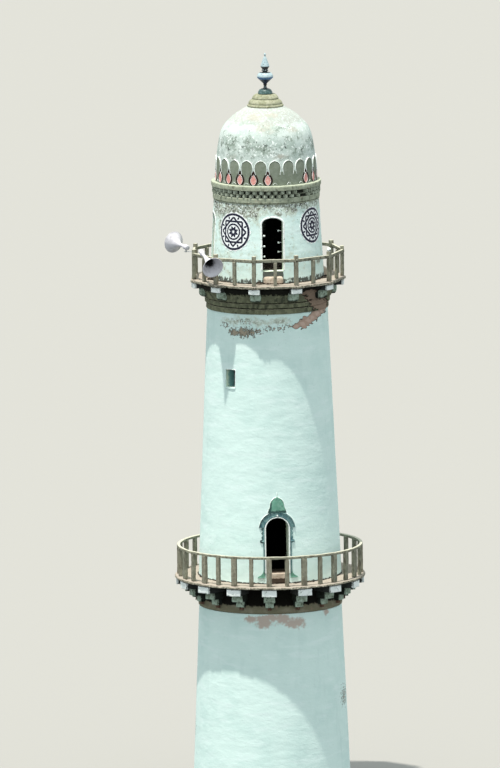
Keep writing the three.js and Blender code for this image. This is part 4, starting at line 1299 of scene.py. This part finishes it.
finialProfile = [(0.205, 20.841), (0.218, 20.852), (0.211, 20.888), (0.192, 20.932), (0.163, 20.97),
                 (0.105, 20.995), (0.058, 21.01), (0.05, 21.028), (0.043, 21.05), (0.043, 21.098),
                 (0.06, 21.117), (0.048, 21.139), (0.118, 21.207), (0.188, 21.274), (0.231, 21.311),
                 (0.239, 21.345), (0.237, 21.372), (0.214, 21.423), (0.16, 21.47), (0.085, 21.484),
                 (0.06, 21.491), (0.096, 21.519), (0.097, 21.538), (0.073, 21.555), (0.117, 21.62),
                 (0.133, 21.655), (0.116, 21.715), (0.091, 21.78), (0.046, 21.908), (0.016, 21.955),
                 (0.03, 21.985), (0.032, 22.002), (0.022, 22.025), (0.006, 22.045)]
finial = makePiece('finial_turned', turned(
    [(0, tower['finialFoot'] + 0.001)] + refined(finialProfile, 0.02) + [(0, 22.054)], 72), finialGlaze)
settle(finial, 'finial_glaze', 'finial', angle=50)
bead = turned([(0, -0.017), (0.012, -0.012), (0.017, 0), (0.012, 0.012), (0, 0.017)], 10)
bead = moved(bead, Matrix.Translation((0, -0.094, 21.545)))
beads = copiesAround('finial_beads', bead, 7, -96, whitePaint)
settle(beads, 'finial_glaze')
print('finial made')

# Loudspeaker horns: driver, throat and spun bell with a rolled rim, on a small stirrup
horns = {
    'horn_1': {'rear': (-2.057, -0.951, 16.352), 'towards': (0.2354, -0.9093, -0.343), 'length': 1.059,
               'side': -65.45},
    'horn_2': {'rear': (-2.356, -0.191, 16.35), 'towards': (-0.4645, 0.877, 0.1217), 'length': 0.76,
               'side': -98.18},
}
hornShape = {
    'mouth': 0.32, 'throat': 0.045, 'throatAt': 0.26, 'driver': 0.075, 'sheet': 0.005, 'steps': 22,
    'around': 64,
}
stirrup = {'railEdge': 2.285, 'railTop': 16.2, 'plateAt': 16.2305}


def hornPlace(horn):
    towards = Vector(horn['towards']).normalized()
    return Matrix.Translation(horn['rear']) @ towards.to_track_quat('Z', 'Y').to_matrix().to_4x4()


def hornProfile(length):
    mouth, throat, start = hornShape['mouth'], hornShape['throat'], hornShape['throatAt']
    steps = hornShape['steps']

    def flare(t):
        return throat + (mouth - 0.008 - throat) * t ** 2.2

    driver = hornShape['driver']
    outside = [(0, 0), (driver - 0.02, 0), (driver - 0.006, 0.006), (driver, 0.02), (driver, 0.075),
               (driver - 0.004, 0.08), (driver - 0.004, 0.092), (driver, 0.097), (driver, 0.165),
               (driver - 0.008, 0.18), (driver - 0.022, 0.19), (throat + 0.004, 0.195), (throat, 0.21)]
    bell = [(flare(i / steps), start + (length - 0.012 - start) * i / steps) for i in range(steps + 1)]
    rim = [(mouth - 0.004, length - 0.016), (mouth, length - 0.008), (mouth - 0.004, length),
           (mouth - 0.012, length - 0.002)]
    inside = [(max(0.02, r - hornShape['sheet']), z) for r, z in reversed(bell)]
    return outside + bell + rim + inside + [(0, start + 0.002)]


for name, horn in horns.items():
    shape = turned(hornProfile(horn['length']), hornShape['around'])
    piece = makePiece(name + '_spun', moved(shape, hornPlace(horn)), hornEnamel)
    back = hornPlace(horn).inverted()
    field = piece.data.attributes.new('grime_and_shade', 'FLOAT', 'POINT')
    count = len(piece.data.vertices)
    insideFrom = count - 1 - hornShape['around'] * (hornShape['steps'] + 1)
    # Inside the bell the paint darkens to near black towards the throat: painted shade
    for i, vertex in enumerate(piece.data.vertices):
        across = (back @ vertex.co).xy.length
        field.data[i].value = max(0.0, 2.2 * (1 - across / 0.22)) if i >= insideFrom else 0.1
    settle(piece, 'horn_paint', name, angle=45)

for number, horn in enumerate(horns.values(), 1):
    towards = Vector(horn['towards']).normalized()
    held = Vector(horn['rear']) + towards * 0.095
    spin = Matrix.Rotation(math.radians(horn['side']), 4, 'Z')
    local = spin.inverted() @ held
    near = stirrup['railEdge'] * math.cos(math.radians(upperCorner)) - 0.085
    railTop = stirrup['railTop']
    shapes = [boxAt((local.x, (local.y - 0.06 - near) / 2, stirrup['plateAt']),
                    (0.07, -local.y + 0.06 - near, 0.008), 0.003, 0.08)]
    for x in (-0.031, 0.031):
        shapes.append(boxAt((local.x + x, local.y, (held.z + railTop) / 2),
                            (0.006, 0.05, held.z - railTop - 0.03), 0.002))
    for y in (local.y - 0.035, -near - 0.03):
        head = turned([(0, 0), (0.011, 0), (0.011, 0.008), (0, 0.008)], 6)
        shapes.append(moved(head, Matrix.Translation((local.x, y, stirrup['plateAt'] + 0.004))))
    bracket = makePiece('horn_stirrup_' + str(number), moved(merged(shapes), spin), galvanised)
    settle(bracket, 'galvanized_steel', 'horn_bracket_' + str(number), angle=30)
print('horns made')


# Silt and debris drifted against the wall feet
def siltRing(name, radius, z, seed, deep=1.0):
    around = 240
    rings = []
    for i in range(around):
        azimuth = 360 * i / around
        spot = Vector(polar(azimuth, radius, z))
        size = max(0.0, noise.noise(spot / 0.35 + Vector((seed, 0, 0))) + 0.15)
        width = 0.02 + 0.13 * size * deep
        height = 0.006 + 0.06 * size * deep
        ring = []
        for k in range(5):
            t = k / 4
            lump = 1 + 0.5 * noise.noise(spot / 0.05 + Vector((0, k, seed)))
            ring.append((radius - 0.02 + t * (width + 0.02), z + height * (1 - t) ** 1.3 * lump))
        ring += [(radius + width, z - 0.02), (radius - 0.02, z - 0.02)]
        rings.append([polar(azimuth, *place) for place in ring])
    settle(makePiece(name, lofted(rings, closed=True), silt), 'grey_cement')


siltRing('lower_balcony_silt', 2.1, 6.592, 3.0)
siltRing('upper_balcony_silt', 1.675, 15.432, 9.0, deep=1.8)
print('silt made')

# Setting: a pale floor, soft sun from the left and front, and a bright sky
floor = bpy.data.objects.new('floor', bpy.data.meshes.new('floor'))
floorHalf = 3000
corners = [(floorHalf * x, floorHalf * y, 0) for x, y in ((-1, -1), (1, -1), (1, 1), (-1, 1))]
floor.data.from_pydata(corners, [], [(0, 1, 2, 3)])
bpy.context.scene.collection.objects.link(floor)
floor.data.materials.append(coat('pale_floor', '#989691', 1.0, []))
floor.visible_diffuse = False  # no light from below, so undersides stay dark as on a tall tower

sunLook = {'azimuth': -43, 'elevation': 76.2, 'strength': 4.7, 'width': 1.0, 'colour': (1.0, 0.97, 0.91)}
sun = bpy.data.objects.new('sun', bpy.data.lights.new('sun', 'SUN'))
sun.data.energy = sunLook['strength']
sun.data.angle = math.radians(sunLook['width'])
sun.data.color = sunLook['colour']
sunHeight = math.radians(sunLook['elevation'])
toSun = Vector(polar(sunLook['azimuth'], math.cos(sunHeight), math.sin(sunHeight)))
sun.rotation_euler = toSun.to_track_quat('Z', 'Y').to_euler()
bpy.context.scene.collection.objects.link(sun)

skyLook = {'above': 1.1, 'below': 0.3, 'colour': (0.88, 0.97, 1.0, 1.0)}
world = bpy.data.worlds.new('sky')
world.use_nodes = True
skyTree = world.node_tree
direction = addNode(skyTree, 'ShaderNodeTexCoord').outputs['Generated']
height = addNode(skyTree, 'ShaderNodeSeparateXYZ', links={0: direction}).outputs['Z']
strength = addNode(skyTree, 'ShaderNodeMapRange', {
    'interpolation_type': 'SMOOTHSTEP', 'From Min': -0.12, 'From Max': 0.12, 'To Min': skyLook['below'],
    'To Max': skyLook['above']}, {'Value': height})
background = skyTree.nodes['Background']
background.inputs['Color'].default_value = skyLook['colour']
skyTree.links.new(strength.outputs[0], background.inputs['Strength'])
bpy.context.scene.world = world
bpy.context.scene.view_settings.view_transform = 'Standard'

viewpoint = {
    'azimuth': -6.3, 'elevation': 8.5, 'distance': 500.0, 'aimHeight': 12.22, 'aside': 0.536, 'roll': -0.6,
    'pixelsPerMetre': 33.95, 'height': 768, 'sensor': 36,
}
camera = bpy.data.objects.new('camera', bpy.data.cameras.new('camera'))
away = viewpoint['distance']
lift = math.radians(viewpoint['elevation'])
back = Vector(polar(viewpoint['azimuth'], math.cos(lift), math.sin(lift)))
facing = back.to_track_quat('Z', 'Y')
right = facing @ Vector((1, 0, 0))
aim = Vector((0, 0, viewpoint['aimHeight'])) - right * viewpoint['aside']
camera.location = aim + back * away
roll = Matrix.Rotation(math.radians(viewpoint['roll']), 3, 'Z')
camera.rotation_euler = (facing.to_matrix() @ roll).to_euler()
camera.data.sensor_fit = 'VERTICAL'
camera.data.sensor_height = viewpoint['sensor']
camera.data.lens = viewpoint['sensor'] * viewpoint['pixelsPerMetre'] * away / viewpoint['height']
camera.data.clip_end = 10000
bpy.context.scene.collection.objects.link(camera)
bpy.context.scene.camera = camera

print('scene ready')
